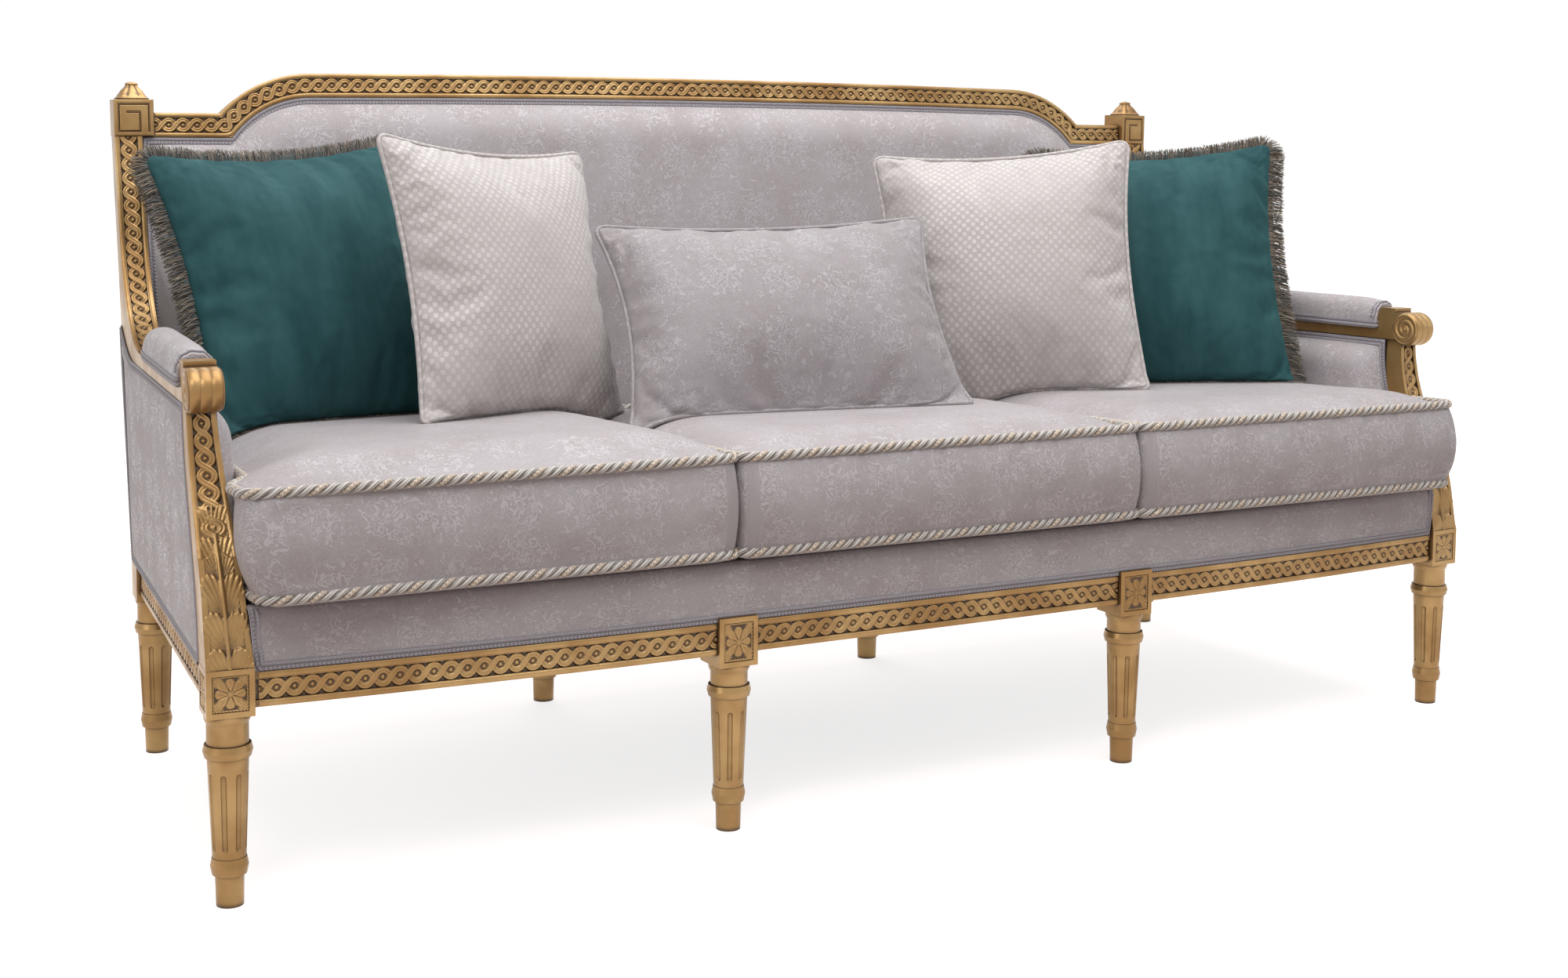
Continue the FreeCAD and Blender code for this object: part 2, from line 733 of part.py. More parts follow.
def make_back(posts):
    """Crest rail, inner frame, webbing, pad and outer cover of the back."""
    half = stile_inner_x()
    front = crest_setback + back_pad_thickness + strap_thickness
    rear = front + inner_frame_depth
    crest = back_place(crest_rail())
    low = raked(bottom_rail_foot)
    bottom_rail = back_place(box((-half, front, low),
                                 (half, rear, low + bottom_rail_height)))
    crest_line = crest_end_top + crest_rise - crest_height
    upright = box((rear_mid_x - upright_width / 2, front, low + bottom_rail_height),
                  (rear_mid_x + upright_width / 2, rear, crest_line + panel_depth))
    upright = biggest(back_place(upright).cut(crest))
    straps = []
    first = low + bottom_rail_height + strap_width
    last = crest_end_top - crest_height - strap_width
    for number in range(back_strap_count):
        height = first + (last - first) * number / (back_strap_count - 1)
        strap = box((-half, front - strap_thickness, height),
                    (half, front, height + strap_width))
        straps.append(back_place(strap))
    pad = back_place(back_pad())
    braid = back_place(back_gimp())
    cover_foot = raked(rail_top)
    cover_wire = back_outline(0.0, cover_foot, half, rear)
    cover = back_place(Part.Face(cover_wire).extrude(Vector(0, cover_thickness, 0)))
    parts = {
        "crest_rail": biggest(crest.cut(posts)),
        "back_bottom_rail": biggest(bottom_rail.cut(posts)),
        "back_upright_right": upright,
        "back_upright_left": mirrored(upright),
        "back_webbing": Part.makeCompound([biggest(s.cut(posts)) for s in straps]),
        "back_pad": biggest(pad.cut(posts).cut(braid)),
        "back_gimp": biggest(braid.cut(posts)),
        "back_cover_outer": biggest(cover.cut(posts)),
    }
    return parts


def make_sides(legs):
    """Posts, arms, pads and panels of both ends."""
    whole = slab_across(sweep_profile(0.0), stick_inner, stick_outer)
    sunk = slab_across(sweep_profile(carving_depth), stick_inner, stick_outer)
    lane = box((stick_inner + stick_fillet, 0, arm_rail_top - rail_height),
               (stick_outer - stick_fillet, 2 * side_length, key_block_bottom))
    stile = whole.cut(whole.cut(sunk).common(lane)).fuse(key_block()).removeSplitter()
    stile = side_place(stile)
    post = side_place(arm_post())
    rail = side_place(arm_rail())
    outer = side_place(side_panel_outer())
    inner = side_place(side_pad_inner())
    pad = side_place(arm_pad())
    tip = side_place(finial())
    leg_front = legs["leg_front_right"]
    leg_rear = legs["leg_rear_right"]
    post = biggest(post.cut(leg_front).cut(rail))
    outer = biggest(outer.cut(post).cut(rail).cut(leg_front).cut(leg_rear))
    stile = biggest(stile.cut(leg_rear).cut(outer))
    rail = biggest(rail.cut(stile))
    inner = biggest(inner.cut(post).cut(rail).cut(stile).cut(leg_front).cut(leg_rear))
    pad = biggest(pad.cut(rail).cut(stile))
    right = {
        "back_post_right": stile, "arm_post_right": post, "arm_rail_right": rail,
        "side_panel_outer_right": outer, "side_pad_inner_right": inner,
        "arm_pad_right": pad, "finial_right": tip,
    }
    sides = dict(right)
    for name, shape in right.items():
        sides[name.replace("right", "left")] = mirrored(shape)
    return sides


def seat_side_x(y):
    """Half width of the seat between the side pads, at a distance back."""
    along = y + side_depth
    slope = math.tan(math.radians(side_angle))
    return front_corner_x - along * slope + stick_inner - side_pad_thickness


def slope_cut(height, y_front):
    """Everything above a plane that falls to the back, from a height at the front."""
    slab = box((-long_cut, -long_cut, 0), (long_cut, long_cut, long_cut))
    slab = turned(slab, -seat_slope, (1, 0, 0))
    return moved(slab, 0, y_front, height)


def back_front_line(height):
    """Distance back of the face of the back pad at a height."""
    return back_front_y + (height - back_pivot_height) * rake_slope - back_pad_bulge


def bowed_plate(radius, reach, sides, height):
    """Plate on the rails: bowed front edge, then the given points of its right side."""
    centre_y = mid_leg_y + bow_radius
    last = math.asin((reach - front_mid_x) / radius)

    def at(angle, way):
        return Vector(way * (front_mid_x + radius * math.sin(angle)),
                      centre_y - radius * math.cos(angle), rail_top)

    right = [at(last, 1)] + sides
    path = right + [Vector(-v.x, v.y, v.z) for v in right[::-1]]
    edges = [Part.makeLine(path[k], path[k + 1]) for k in range(len(path) - 1)]
    edges.append(Part.Arc(at(last, -1), at(last / 2, -1), at(0, -1)).toShape())
    edges.append(Part.makeLine(at(0, -1), at(0, 1)))
    edges.append(Part.Arc(at(0, 1), at(last / 2, 1), at(last, 1)).toShape())
    return Part.Face(Part.Wire(edges)).extrude(Vector(0, 0, height - rail_top))


def make_deck(solids):
    """Sprung deck with its front apron, its webbing and the cloth below."""
    front_y = mid_leg_y - half_block + deck_setback
    face_radius = bow_radius + half_block - deck_setback
    rear_y = back_front_line(rail_top) - cushion_rear_gap
    height = deck_front_top + deck_edge_radius
    neck_y = -side_depth + block_width
    reach = front_corner_x + stick_outer - post_foot_width - rest_gap
    neck_x = seat_side_x(neck_y) - seat_side_gap
    rear_x = seat_side_x(rear_y) - seat_side_gap
    sides = [Vector(reach, neck_y, rail_top), Vector(neck_x, neck_y, rail_top),
             Vector(rear_x, rear_y, rail_top)]
    deck = bowed_plate(face_radius, reach, sides, height)
    deck = deck.cut(slope_cut(deck_front_top, front_y))
    above_webbing = rail_top + 2 * strap_thickness
    wide = [Vector(front_corner_x, rail_thickness, rail_top)]
    under = bowed_plate(face_radius - deck_front_band, front_corner_x, wide, above_webbing)
    deck = deck.cut(under)
    for piece in solids:
        deck = deck.cut(piece)
    braid = box((-front_mid_x, front_y - gimp_thickness, rail_top),
                (front_mid_x, front_y, rail_top + gimp_width))
    wing = bowed_band(face_radius + gimp_thickness, face_radius, rail_top, rail_top + gimp_width)
    wing = wing.common(box((0, -long_cut, 0), (reach, long_cut, long_cut)))
    wing = biggest(wing.cut(legs_compound(solids)))
    braids = [braid.cut(legs_compound(solids)), wing, mirrored(wing)]
    straps = []
    widest = seat_side_x(rear_y) - strap_width
    rear_end = half_block - rail_setback - strap_inset
    for number in range(strap_count):
        x = (2 * number / (strap_count - 1) - 1) * widest
        start = front_y + deck_front_band + rest_gap
        if abs(x) + strap_width / 2 > front_mid_x:
            start += bow
        straps.append(box((x - strap_width / 2, start, rail_top),
                          (x + strap_width / 2, rear_end, rail_top + strap_thickness)))
    for number in range(cross_strap_count):
        share = (number + 1) / (cross_strap_count + 1)
        y = neck_y + share * (rear_y - neck_y)
        half = seat_side_x(y) + side_pad_thickness + strap_inset / 2
        straps.append(box((-half, y - strap_width / 2, rail_top + strap_thickness),
                          (half, y + strap_width / 2, above_webbing)))
    straps = [s.cut(legs_compound(solids)) for s in straps]
    outline = [
        (front_mid_x, mid_leg_y), (front_corner_x - half_block, -side_depth + half_block / 2),
        (rear_corner_x - half_block, 0),
    ]
    sheet_points = [Vector(x, y, rail_bottom - cover_thickness) for x, y in outline]
    sheet_points += [Vector(-v.x, v.y, v.z) for v in sheet_points[::-1]]
    sheet = prism(sheet_points, Vector(0, 0, cover_thickness))
    return {
        "seat_deck": biggest(deck),
        "apron_gimp": Part.makeCompound([biggest(s) for s in braids]),
        "seat_webbing": Part.makeCompound([biggest(s) for s in straps]),
        "dust_cover": biggest(sheet.cut(legs_compound(solids))),
    }


def legs_compound(solids):
    """All the solids of a list in one shape, for one cut."""
    return Part.makeCompound(list(solids))


def rounded_wire(points, radii, z):
    """Closed wire of lines and corner arcs through (x, y) points at a height."""
    count = len(points)
    starts = []
    for index in range(count):
        here = Vector(points[index][0], points[index][1], z)
        before = Vector(points[index - 1][0], points[index - 1][1], z)
        after = Vector(points[(index + 1) % count][0], points[(index + 1) % count][1], z)
        u = (before - here).normalize()
        v = (after - here).normalize()
        half = u.getAngle(v) / 2
        run = radii[index] / math.tan(half)
        bisector = (u + v).normalize()
        centre = here + bisector * (radii[index] / math.sin(half))
        starts.append((here + u * run, centre - bisector * radii[index], here + v * run))
    edges = []
    for index in range(count):
        first, middle, last = starts[index]
        edges.append(Part.Arc(first, middle, last).toShape())
        edges.append(Part.makeLine(last, starts[(index + 1) % count][0]))
    return Part.Wire(edges)


# Side shape of a seat cushion: height as a share of the height between its two
# cords, how far the face bulges and how far it is drawn in, as shares
cushion_side_shares = ((-0.03, 0.0, 0.35), (0.03, 0.0, 0.0), (0.22, 0.7, 0.0), (0.5, 1.0, 0.0),
                       (0.8, 0.7, 0.0), (0.97, 0.05, 0.0), (1.02, 0.0, 0.25))
# Crown above the upper cord: how far in and how high, as shares of their full sizes
cushion_crown_shares = ((0.02, -0.1), (0.06, 0.22), (0.14, 0.44), (0.3, 0.68), (0.6, 0.9), (1.0, 1.0))


def cushion_section(outer, bulge, inset, ear, z):
    """One level of a seat cushion, drawn at the right or in the middle.

    Without an ear the outline is the plain one that the crown follows.
    """
    rear_y = back_front_line(cushion_bottom) - cushion_rear_gap
    front_y = cushion_front_y - bulge + inset
    low_x = cushion_split_x + cushion_gap / 2 + inset
    back_y = rear_y - inset * (1 if ear is not None else crown_rear_reach)
    radius = cushion_corner_radius
    if not outer:
        half = cushion_split_x - cushion_gap / 2 - inset
        points = [(-half, front_y), (half, front_y), (half, back_y), (-half, back_y)]
        return rounded_wire(points, [radius] * 4, z)
    neck_y = ear_neck_y - inset
    neck_x = seat_side_x(neck_y) - seat_side_gap - inset
    rear_x = seat_side_x(back_y) - seat_side_gap - inset
    if ear is None:
        points = [(low_x, front_y), (neck_x, front_y), (rear_x, back_y), (low_x, back_y)]
        return rounded_wire(points, [radius] * 4, z)
    ear_x = ear - inset + bulge / 3
    ear_y = ear_rear_y - inset
    points = [(low_x, front_y), (ear_x, front_y), (ear_x, ear_y), (neck_x, neck_y),
              (rear_x, back_y), (low_x, back_y)]
    radii = [radius, radius, radius / 2, radius, radius, radius]
    return rounded_wire(points, radii, z)


def seat_cushion(outer):
    """Boxed cushion with a bulging face, an ear before the arm post and a crown."""
    wires = []
    for height, bulge, draw in cushion_side_shares:
        rise = min(1, max(0, height))
        ear = ear_bottom_x + (ear_top_x - ear_bottom_x) * rise ** 2
        wires.append(cushion_section(outer, cushion_front_bulge * bulge,
                                     cushion_corner_radius * draw, ear,
                                     cushion_rope_height * height))
    solid = Part.makeLoft(wires, True, True)
    reach = 5 * cushion_corner_radius
    wires = [cushion_section(outer, 0.0, reach * inward, None,
                             cushion_rope_height + cushion_crown * rise)
             for inward, rise in cushion_crown_shares]
    solid = solid.fuse(Part.makeLoft(wires, True, True)).removeSplitter()
    solid = turned(solid, -seat_slope, (1, 0, 0), (0, cushion_front_y, 0))
    return moved(solid, 0, 0, cushion_bottom)


def pillow(size):
    """Filled square cover: drawn in sides, full middle, lying in its own axes.

    X is its width, Z its height and Y runs from its front to its back.
    """
    width, height, thickness = size
    # Distance in from the seam and thickness there, as shares
    shares = ((0.0, 0.05), (0.05, 0.22), (0.14, 0.45), (0.3, 0.72), (0.52, 0.92), (0.74, 1.0))
    steps = [(inward, -full) for inward, full in shares[::-1]] + list(shares)
    round_share = 0.55
    wires = []
    for inward, full in steps:
        half_w = width / 2 * (1 - inward)
        half_h = height / 2 * (1 - inward)
        pull = 1 - round_share * inward
        draw = pillow_side_draw * (1 - inward) - min(half_w, half_h) * inward * (1 - pull)
        y = thickness / 2 * full

        def at(x, z):
            return Vector(x, y, z)

        corner_w = half_w * pull
        corner_h = half_h * pull
        side_w = half_w - draw
        side_h = half_h - draw
        corners = [at(-corner_w, -corner_h), at(corner_w, -corner_h),
                   at(corner_w, corner_h), at(-corner_w, corner_h)]
        middles = [at(0, -side_h), at(side_w, 0), at(0, side_h), at(-side_w, 0)]
        wires.append(Part.Wire([
            Part.Arc(corners[k], middles[k], corners[(k + 1) % 4]).toShape() for k in range(4)
        ]))
    return Part.makeLoft(wires, True, True)


# Each pillow: its size, centre, turn to the left, lean and roll in degrees
pillow_poses = {
    "pillow_velvet_left": (velvet_pillow, (-735.0, -158.0, 712.0), -14.0, 22.0, 3.2),
    "pillow_check_left": (check_pillow, (-482.0, -276.0, 714.0), -27.0, 16.0, -3.8),
    "pillow_lumbar": (lumbar_pillow, (-50.5, -363.0, 672.0), 11.0, 38.0, 1.5),
    "pillow_check_right": (check_pillow, (405.5, -295.5, 725.0), 33.0, 19.0, 4.4),
    "pillow_velvet_right": (velvet_pillow, (713.0, -318.0, 720.0), 32.0, 22.0, 1.0),
}


def make_pillows(solids):
    """All pillows, each let down until it rests on the cushions below."""
    pillows = {}
    for name, (size, centre, turn, lean, roll) in pillow_poses.items():
        shape = turned(pillow(size), -roll, (0, 1, 0))
        shape = turned(shape, -lean, (1, 0, 0))
        shape = turned(shape, -turn)
        shape = moved(shape, *centre)
        pillows[name] = seated(shape, solids)
    return pillows


def seated(shape, solids):
    """Lets a shape down until it lies a small gap above the solids."""
    support = Part.makeCompound(solids)
    shape = moved(shape, 0, 0, seating_drop)
    for _ in range(seating_steps):
        gap = shape.distToShape(support)[0] - rest_gap
        if gap < rest_gap / 3:
            break
        shape = moved(shape, 0, 0, -gap)
    return shape


def dowel(point, direction):
    """One dowel, centred on a joint face."""
    unit = Vector(*direction).normalize()
    start = point - unit * (dowel_length / 2)
    return Part.makeCylinder(dowel_radius, dowel_length, start, unit)


def make_dowels():
    """Dowels between the seat rails and the leg blocks."""
    middle = (rail_top + rail_bottom) / 2
    face_y = mid_leg_y - half_block + rail_setback + rail_thickness / 2
    rear_y = half_block - rail_setback - rear_rail_thickness / 2
    angle = math.radians(side_angle)
    side_t = half_block - rail_setback - rail_thickness / 2
    joints = [
        ((front_mid_x - half_block, face_y), (1, 0, 0)),
        ((front_mid_x + half_block, face_y), (1, 0, 0)),
        ((rear_mid_x - half_block, rear_y), (1, 0, 0)),
        ((rear_mid_x + half_block, rear_y), (1, 0, 0)),
        ((rear_corner_x - half_block, rear_y), (1, 0, 0)),
    ]
    for along in (half_block, side_length - half_block):
        x = front_corner_x + side_t * math.cos(angle) - along * math.sin(angle)
        y = -side_depth + side_t * math.sin(angle) + along * math.cos(angle)
        joints.append(((x, y), (-math.sin(angle), math.cos(angle), 0)))
    pins = []
    for (x, y), direction in joints:
        for step in (-1, 1):
            pin = dowel(Vector(x, y, middle + step * dowel_spacing / 2), direction)
            pins.append(pin)
            pins.append(mirrored(pin))
    return pins


def make_glue_blocks(legs):
    """Corner blocks inside the seat frame with their screws."""
    low = rail_top - glue_block_height
    rear_inner = half_block - rail_setback - rear_rail_thickness
    angle = math.radians(side_angle)
    inner_t = half_block - rail_setback - rail_thickness
    inner_radius = bow_radius + inner_t

    def side_inner(y):
        along = (y + side_depth) / math.cos(angle)
        return front_corner_x + inner_t / math.cos(angle) - along * math.sin(angle)

    def front_inner(x):
        return mid_leg_y + bow_radius - math.sqrt(inner_radius ** 2 - (x - front_mid_x) ** 2)

    def rear_line(x):
        return rear_inner

    cutters = Part.makeCompound(list(legs.values()))
    blocks = []
    screws = []
    for line, way, guess in ((rear_line, -1, rear_inner), (front_inner, 1, -side_depth)):
        x = side_inner(guess)
        y = line(x)
        x = side_inner(y)
        y = line(x)
        tip = y + way * glue_block_leg
        shape = prism([Vector(x, y, low), Vector(x - glue_block_leg, line(x - glue_block_leg), low),
                       Vector(side_inner(tip), tip, low)], Vector(0, 0, glue_block_height))
        blocks.append(biggest(shape.cut(cutters)))
        across = x - glue_block_leg * screw_place_share
        face = line(across) + way * glue_block_leg * (1 - screw_place_share)
        head = Vector(across, face + way * screw_head_height, low + glue_block_height / 2)
        path = Vector(0, -way, 0)
        screw = Part.makeCylinder(screw_radius, screw_length, head, path)
        cap = Part.makeCone(screw_head_radius, screw_radius, screw_head_height, head, path)
        screws.append(screw.fuse(cap).removeSplitter())
    return blocks, screws


def build():
    """Makes every piece and returns them by name."""
    legs = make_legs()
    rails = make_rails(legs)
    pins = make_dowels()
    holes = Part.makeCompound(pins)
    blocks, screws = make_glue_blocks(legs)
    bores = Part.makeCompound(screws)
    blocks = [b.cut(bores) for b in blocks]
    right_and_left = [s for s in screws] + [mirrored(s) for s in screws]
    both_bores = Part.makeCompound(right_and_left)
    for group in (legs, rails):
        for name in list(group):
            group[name] = biggest(group[name].cut(holes).cut(both_bores))
    sides = make_sides(legs)
    posts = Part.makeCompound([sides["back_post_left"], sides["back_post_right"]])
    back = make_back(posts)
    for end in ("left", "right"):
        pad_name = "side_pad_inner_" + end
        panel_name = "side_panel_outer_" + end
        pad = sides[pad_name].cut(back["back_pad"]).cut(back["back_bottom_rail"])
        sides[pad_name] = biggest(pad)
        sides[panel_name] = biggest(sides[panel_name].cut(rails["side_rail_" + end]))
    lower = Part.makeCompound(list(legs.values()) + list(rails.values()))
    pads = Part.makeCompound([sides["side_pad_inner_left"], sides["side_pad_inner_right"]])
    back["back_cover_outer"] = biggest(back["back_cover_outer"].cut(lower).cut(pads))
    around = list(legs.values()) + [sides["arm_post_left"], sides["arm_post_right"],
                                    sides["side_pad_inner_left"], sides["side_pad_inner_right"],
                                    back["back_pad"]]
    deck = make_deck(around)
    cushion = seat_cushion(True)
    cushions = {
        "seat_cushion_left": mirrored(cushion),
        "seat_cushion_center": seat_cushion(False),
        "seat_cushion_right": cushion,
    }
    pillows = make_pillows(list(cushions.values()))
    parts = {}
    for group in (legs, rails, sides, back, deck, cushions, pillows):
        parts.update(group)
    parts["rail_dowels"] = Part.makeCompound(pins)
    parts["corner_blocks"] = Part.makeCompound(blocks + [mirrored(b) for b in blocks])
    parts["corner_block_screws"] = Part.makeCompound(right_and_left)
    return parts


def main():
    """Builds the sofa, centres its footprint and writes one file per piece."""
    os.makedirs("parts", exist_ok=True)
    parts = build()
    boxes = [shape.BoundBox for shape in parts.values()]
    low = min(b.YMin for b in boxes)
    high = max(b.YMax for b in boxes)
    shift = -(low + high) / 2
    print("shift of the footprint", round(shift, 3))
    print("size", max(b.XMax for b in boxes) - min(b.XMin for b in boxes), high - low,
          max(b.ZMax for b in boxes))
    for name, shape in parts.items():
        placed = moved(shape, 0, shift)
        if not placed.isValid():
            print("not valid", name)
        placed.exportStep("parts/" + name + ".step")
    print(len(parts), "pieces written")


main()
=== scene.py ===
"""Carved gilt sofa: its carving, upholstery, cushions and pillows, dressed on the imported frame.

All sizes are in metres. X runs to the right seen from the front, Y to the back, Z up.
"""

import json
import logging
import math
from collections.abc import Callable
from dataclasses import dataclass, field
from enum import Enum

import bpy
import numpy as np
from mathutils import Matrix, Vector
from mathutils.bvhtree import BVHTree

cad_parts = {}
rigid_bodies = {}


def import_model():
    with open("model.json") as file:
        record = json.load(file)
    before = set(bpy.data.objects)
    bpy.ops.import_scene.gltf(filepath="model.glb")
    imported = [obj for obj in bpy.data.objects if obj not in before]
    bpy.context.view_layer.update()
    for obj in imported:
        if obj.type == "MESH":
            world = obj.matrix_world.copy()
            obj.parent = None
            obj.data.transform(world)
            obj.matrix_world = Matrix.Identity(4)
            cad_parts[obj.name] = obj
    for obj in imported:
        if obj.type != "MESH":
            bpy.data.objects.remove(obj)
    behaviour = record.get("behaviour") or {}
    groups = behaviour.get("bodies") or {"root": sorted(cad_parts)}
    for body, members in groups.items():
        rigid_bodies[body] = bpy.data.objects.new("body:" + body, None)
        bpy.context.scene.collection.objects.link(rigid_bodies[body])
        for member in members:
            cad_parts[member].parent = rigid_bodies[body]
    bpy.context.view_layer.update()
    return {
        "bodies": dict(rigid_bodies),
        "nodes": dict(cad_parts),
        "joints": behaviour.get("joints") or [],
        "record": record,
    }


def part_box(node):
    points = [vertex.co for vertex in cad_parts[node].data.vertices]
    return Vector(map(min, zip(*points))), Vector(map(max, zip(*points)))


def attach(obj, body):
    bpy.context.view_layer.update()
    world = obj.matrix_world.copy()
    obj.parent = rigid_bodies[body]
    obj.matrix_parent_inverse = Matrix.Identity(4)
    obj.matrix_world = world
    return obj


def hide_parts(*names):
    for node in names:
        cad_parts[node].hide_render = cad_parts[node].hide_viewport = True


LOG = logging.getLogger("sofa")
FRAME_BODY = "sofa_frame"
Points = np.ndarray
Colour = tuple[float, float, float, float]
Socket = bpy.types.NodeSocket
Material = bpy.types.Material


def tone(red: int, green: int, blue: int) -> Colour:
    """Turns a screen colour, 0 to 255, into the linear colour a shader takes."""
    linear = [(c / 255 / 12.92) if c < 11 else ((c / 255 + 0.055) / 1.055) ** 2.4
              for c in (red, green, blue)]
    return (linear[0], linear[1], linear[2], 1.0)


def unit(value: Points | float) -> Points:
    """Keeps a value between 0 and 1."""
    return np.clip(value, 0, 1)


def ease(value: Points | float, power: float) -> Points:
    """Rises from 0 to 1, steep at first and flat at the end."""
    return 1 - (1 - unit(value)) ** power


def filled(power: float, *gaps: Points) -> Points:
    """Rises from 0 at every edge to 1, given the distances from the edges over their reach."""
    return math.prod(ease(gap, power) for gap in gaps)


def dome(value: Points, power: int = 2) -> Points:
    """Falls from 1 at 0 to nothing at 1 and beyond, rounded like a dome."""
    return np.sqrt(unit(1 - value ** power))


def xyz(*parts: Points | float) -> Points:
    """Points from their coordinates, each spread to the shape of all."""
    return np.stack(np.broadcast_arrays(*parts), -1)


def spline_at(xs: Points, ys: Points, at: Points) -> Points:
    """Follows a natural cubic spline through given points.

    Args:
        xs: Rising places of the points.
        ys: Values there.
        at: Places to read.

    Returns:
        The values at those places.
    """
    count = len(xs)
    step = np.diff(xs)
    system = np.eye(count)
    right = np.zeros(count)
    for k in range(1, count - 1):
        system[k, k - 1:k + 2] = step[k - 1], 2 * (step[k - 1] + step[k]), step[k]
        right[k] = 6 * ((ys[k + 1] - ys[k]) / step[k] - (ys[k] - ys[k - 1]) / step[k - 1])
    bend = np.linalg.solve(system, right)
    k = np.clip(np.searchsorted(xs, at) - 1, 0, count - 2)
    a, b, h = xs[k + 1] - at, at - xs[k], step[k]
    return (bend[k] * a ** 3 + bend[k + 1] * b ** 3) / (6 * h) + \
        (ys[k] / h - bend[k] * h / 6) * a + (ys[k + 1] / h - bend[k + 1] * h / 6) * b


class Path:
    """A line through points that is read by the distance along it."""

    def __init__(self, points: Points, closed: bool = False) -> None:
        """Keeps the points, with the first one repeated if closed, and the distance to each."""
        self.points = np.asarray(points, float)
        if closed:
            self.points = np.concatenate([self.points, self.points[:1]])
        steps = np.linalg.norm(np.diff(self.points, axis=0), axis=1)
        self.run = np.concatenate([[0.0], np.cumsum(steps)])

    @property
    def length(self) -> float:
        """Whole length of the line."""
        return float(self.run[-1])

    def at(self, distance: Points) -> Points:
        """Points at the given distances."""
        return xyz(*(np.interp(distance, self.run, self.points[:, k]) for k in range(3)))

    def sides(self, distance: Points, across: tuple | None, normal: tuple | None,
              reach: float = 0.003) -> tuple[Points, Points]:
        """Directions of a band that lies along the line.

        Args:
            distance: Distances along the line.
            across: Direction across the band, if it is fixed.
            normal: Direction out of the band, if that is fixed instead.
            reach: Distance over which the line's direction is smoothed.

        Returns:
            Directions across and outwards at each distance.
        """
        low, high = (np.clip(distance + by, 0, self.length) for by in (-reach, reach))
        run = self.at(high) - self.at(low)
        tangent = run / np.maximum(np.linalg.norm(run, axis=1, keepdims=True), 1e-9)
        if normal is None:
            side = np.broadcast_to(across, tangent.shape)
            return side, np.cross(side, tangent)
        out = np.broadcast_to(normal, tangent.shape)
        return np.cross(tangent, out), out

    def ahead(self, distance: Points, reach: float) -> Points:
        """Unit directions along a closed line, smoothed over the reach."""
        run = self.at((distance + reach) % self.length) - self.at((distance - reach) % self.length)
        return run / np.linalg.norm(run, axis=1, keepdims=True)

    def tube(self, distance: Points, reach: float, up: Points,
             offsets: tuple[Points, Points]) -> Points:
        """Points of a tube round a closed line.

        Args:
            distance: Distances along the line, one for each row.
            reach: Distance over which the line's direction is smoothed.
            up: Direction that the second offset follows.
            offsets: How far each point lies to the side and up, row by column.

        Returns:
            Rows of points, the first one repeated at the end.
        """
        tangent = self.ahead(distance, reach)
        side = np.cross(tangent, up)
        side /= np.linalg.norm(side, axis=1, keepdims=True)
        lift = np.cross(side, tangent)
        points = self.at(distance)[:, None] + (
            offsets[0][..., None] * side[:, None] + offsets[1][..., None] * lift[:, None])
        return np.concatenate([points, points[:1]])


class MeshDraft:
    """Collects grids of points and turns them into one object."""

    def __init__(self) -> None:
        """Starts an empty draft."""
        self.points: list[Points] = []
        self.places: list[Points] = []
        self.hollows: list[Points] = []
        self.faces: list[Points] = []
        self.count = 0

    def grid(self, points: Points, place: Points | None = None, hollow: Points | None = None,
             flip: bool = False, ring: bool = False) -> None:
        """Adds a grid of quads, or several of one size.

        Args:
            points: Array of rows, columns and three coordinates, several grids stacked in front.
            place: Coordinates on the cloth or along the trim, one triple per point.
            hollow: How deep in the carving each point lies, 0 to 1.
            flip: Turns the faces over.
            ring: Joins the last column to the first.
        """
        total = points.size // 3
        index = self.count + np.arange(total).reshape(points.shape[:-1])
        if ring:
            index = np.concatenate([index, index[..., :1]], -1)
        near, far = index[..., :-1, :], index[..., 1:, :]
        faces = np.stack([near[..., :-1], near[..., 1:], far[..., 1:], far[..., :-1]], -1)
        faces = faces.reshape(-1, 4)
        self.faces.append(faces[:, ::-1] if flip else faces)
        self.points.append(points.reshape(-1, 3))
        self.places.append((points if place is None else place).reshape(-1, 3))
        self.hollows.append(np.zeros(total) if hollow is None else hollow.reshape(-1))
        self.count += total

    def build(self, name: str, material: Material, weld: float = 0.0) -> bpy.types.Object:
        """Makes the object.

        Args:
            name: Its name.
            material: Its material.
            weld: Distance under which points are joined, or 0.

        Returns:
            The object, linked to the scene.
        """
        points = np.concatenate(self.points).astype(np.float32)
        faces = np.concatenate(self.faces).astype(np.int32)
        mesh = bpy.data.meshes.new(name)
        mesh.vertices.add(len(points))
        mesh.vertices.foreach_set("co", points.ravel())
        mesh.loops.add(faces.size)
        mesh.loops.foreach_set("vertex_index", faces.ravel())
        mesh.polygons.add(len(faces))
        mesh.polygons.foreach_set("loop_start", np.arange(len(faces), dtype=np.int32) * 4)
        mesh.update(calc_edges=True)
        for label, kind, key, parts in (("place", "FLOAT_VECTOR", "vector", self.places),
                                        ("hollow", "FLOAT", "value", self.hollows)):
            values = np.concatenate(parts).astype(np.float32).ravel()
            mesh.attributes.new(label, kind, "POINT").data.foreach_set(key, values)
        mesh.polygons.foreach_set("use_smooth", np.ones(len(faces), bool))
        thing = bpy.data.objects.new(name, mesh)
        bpy.context.scene.collection.objects.link(thing)
        thing.data.materials.append(material)
        if weld:
            joined = thing.modifiers.new("weld", "WELD")
            joined.merge_threshold = weld
        return thing


class Side(Enum):
    """End of the sofa that a piece belongs to."""

    LEFT = -1
    RIGHT = 1

    @property
    def word(self) -> str:
        """The side's word in a piece's name."""
        return self.name.lower()


BOTH = (Side.LEFT, Side.RIGHT)


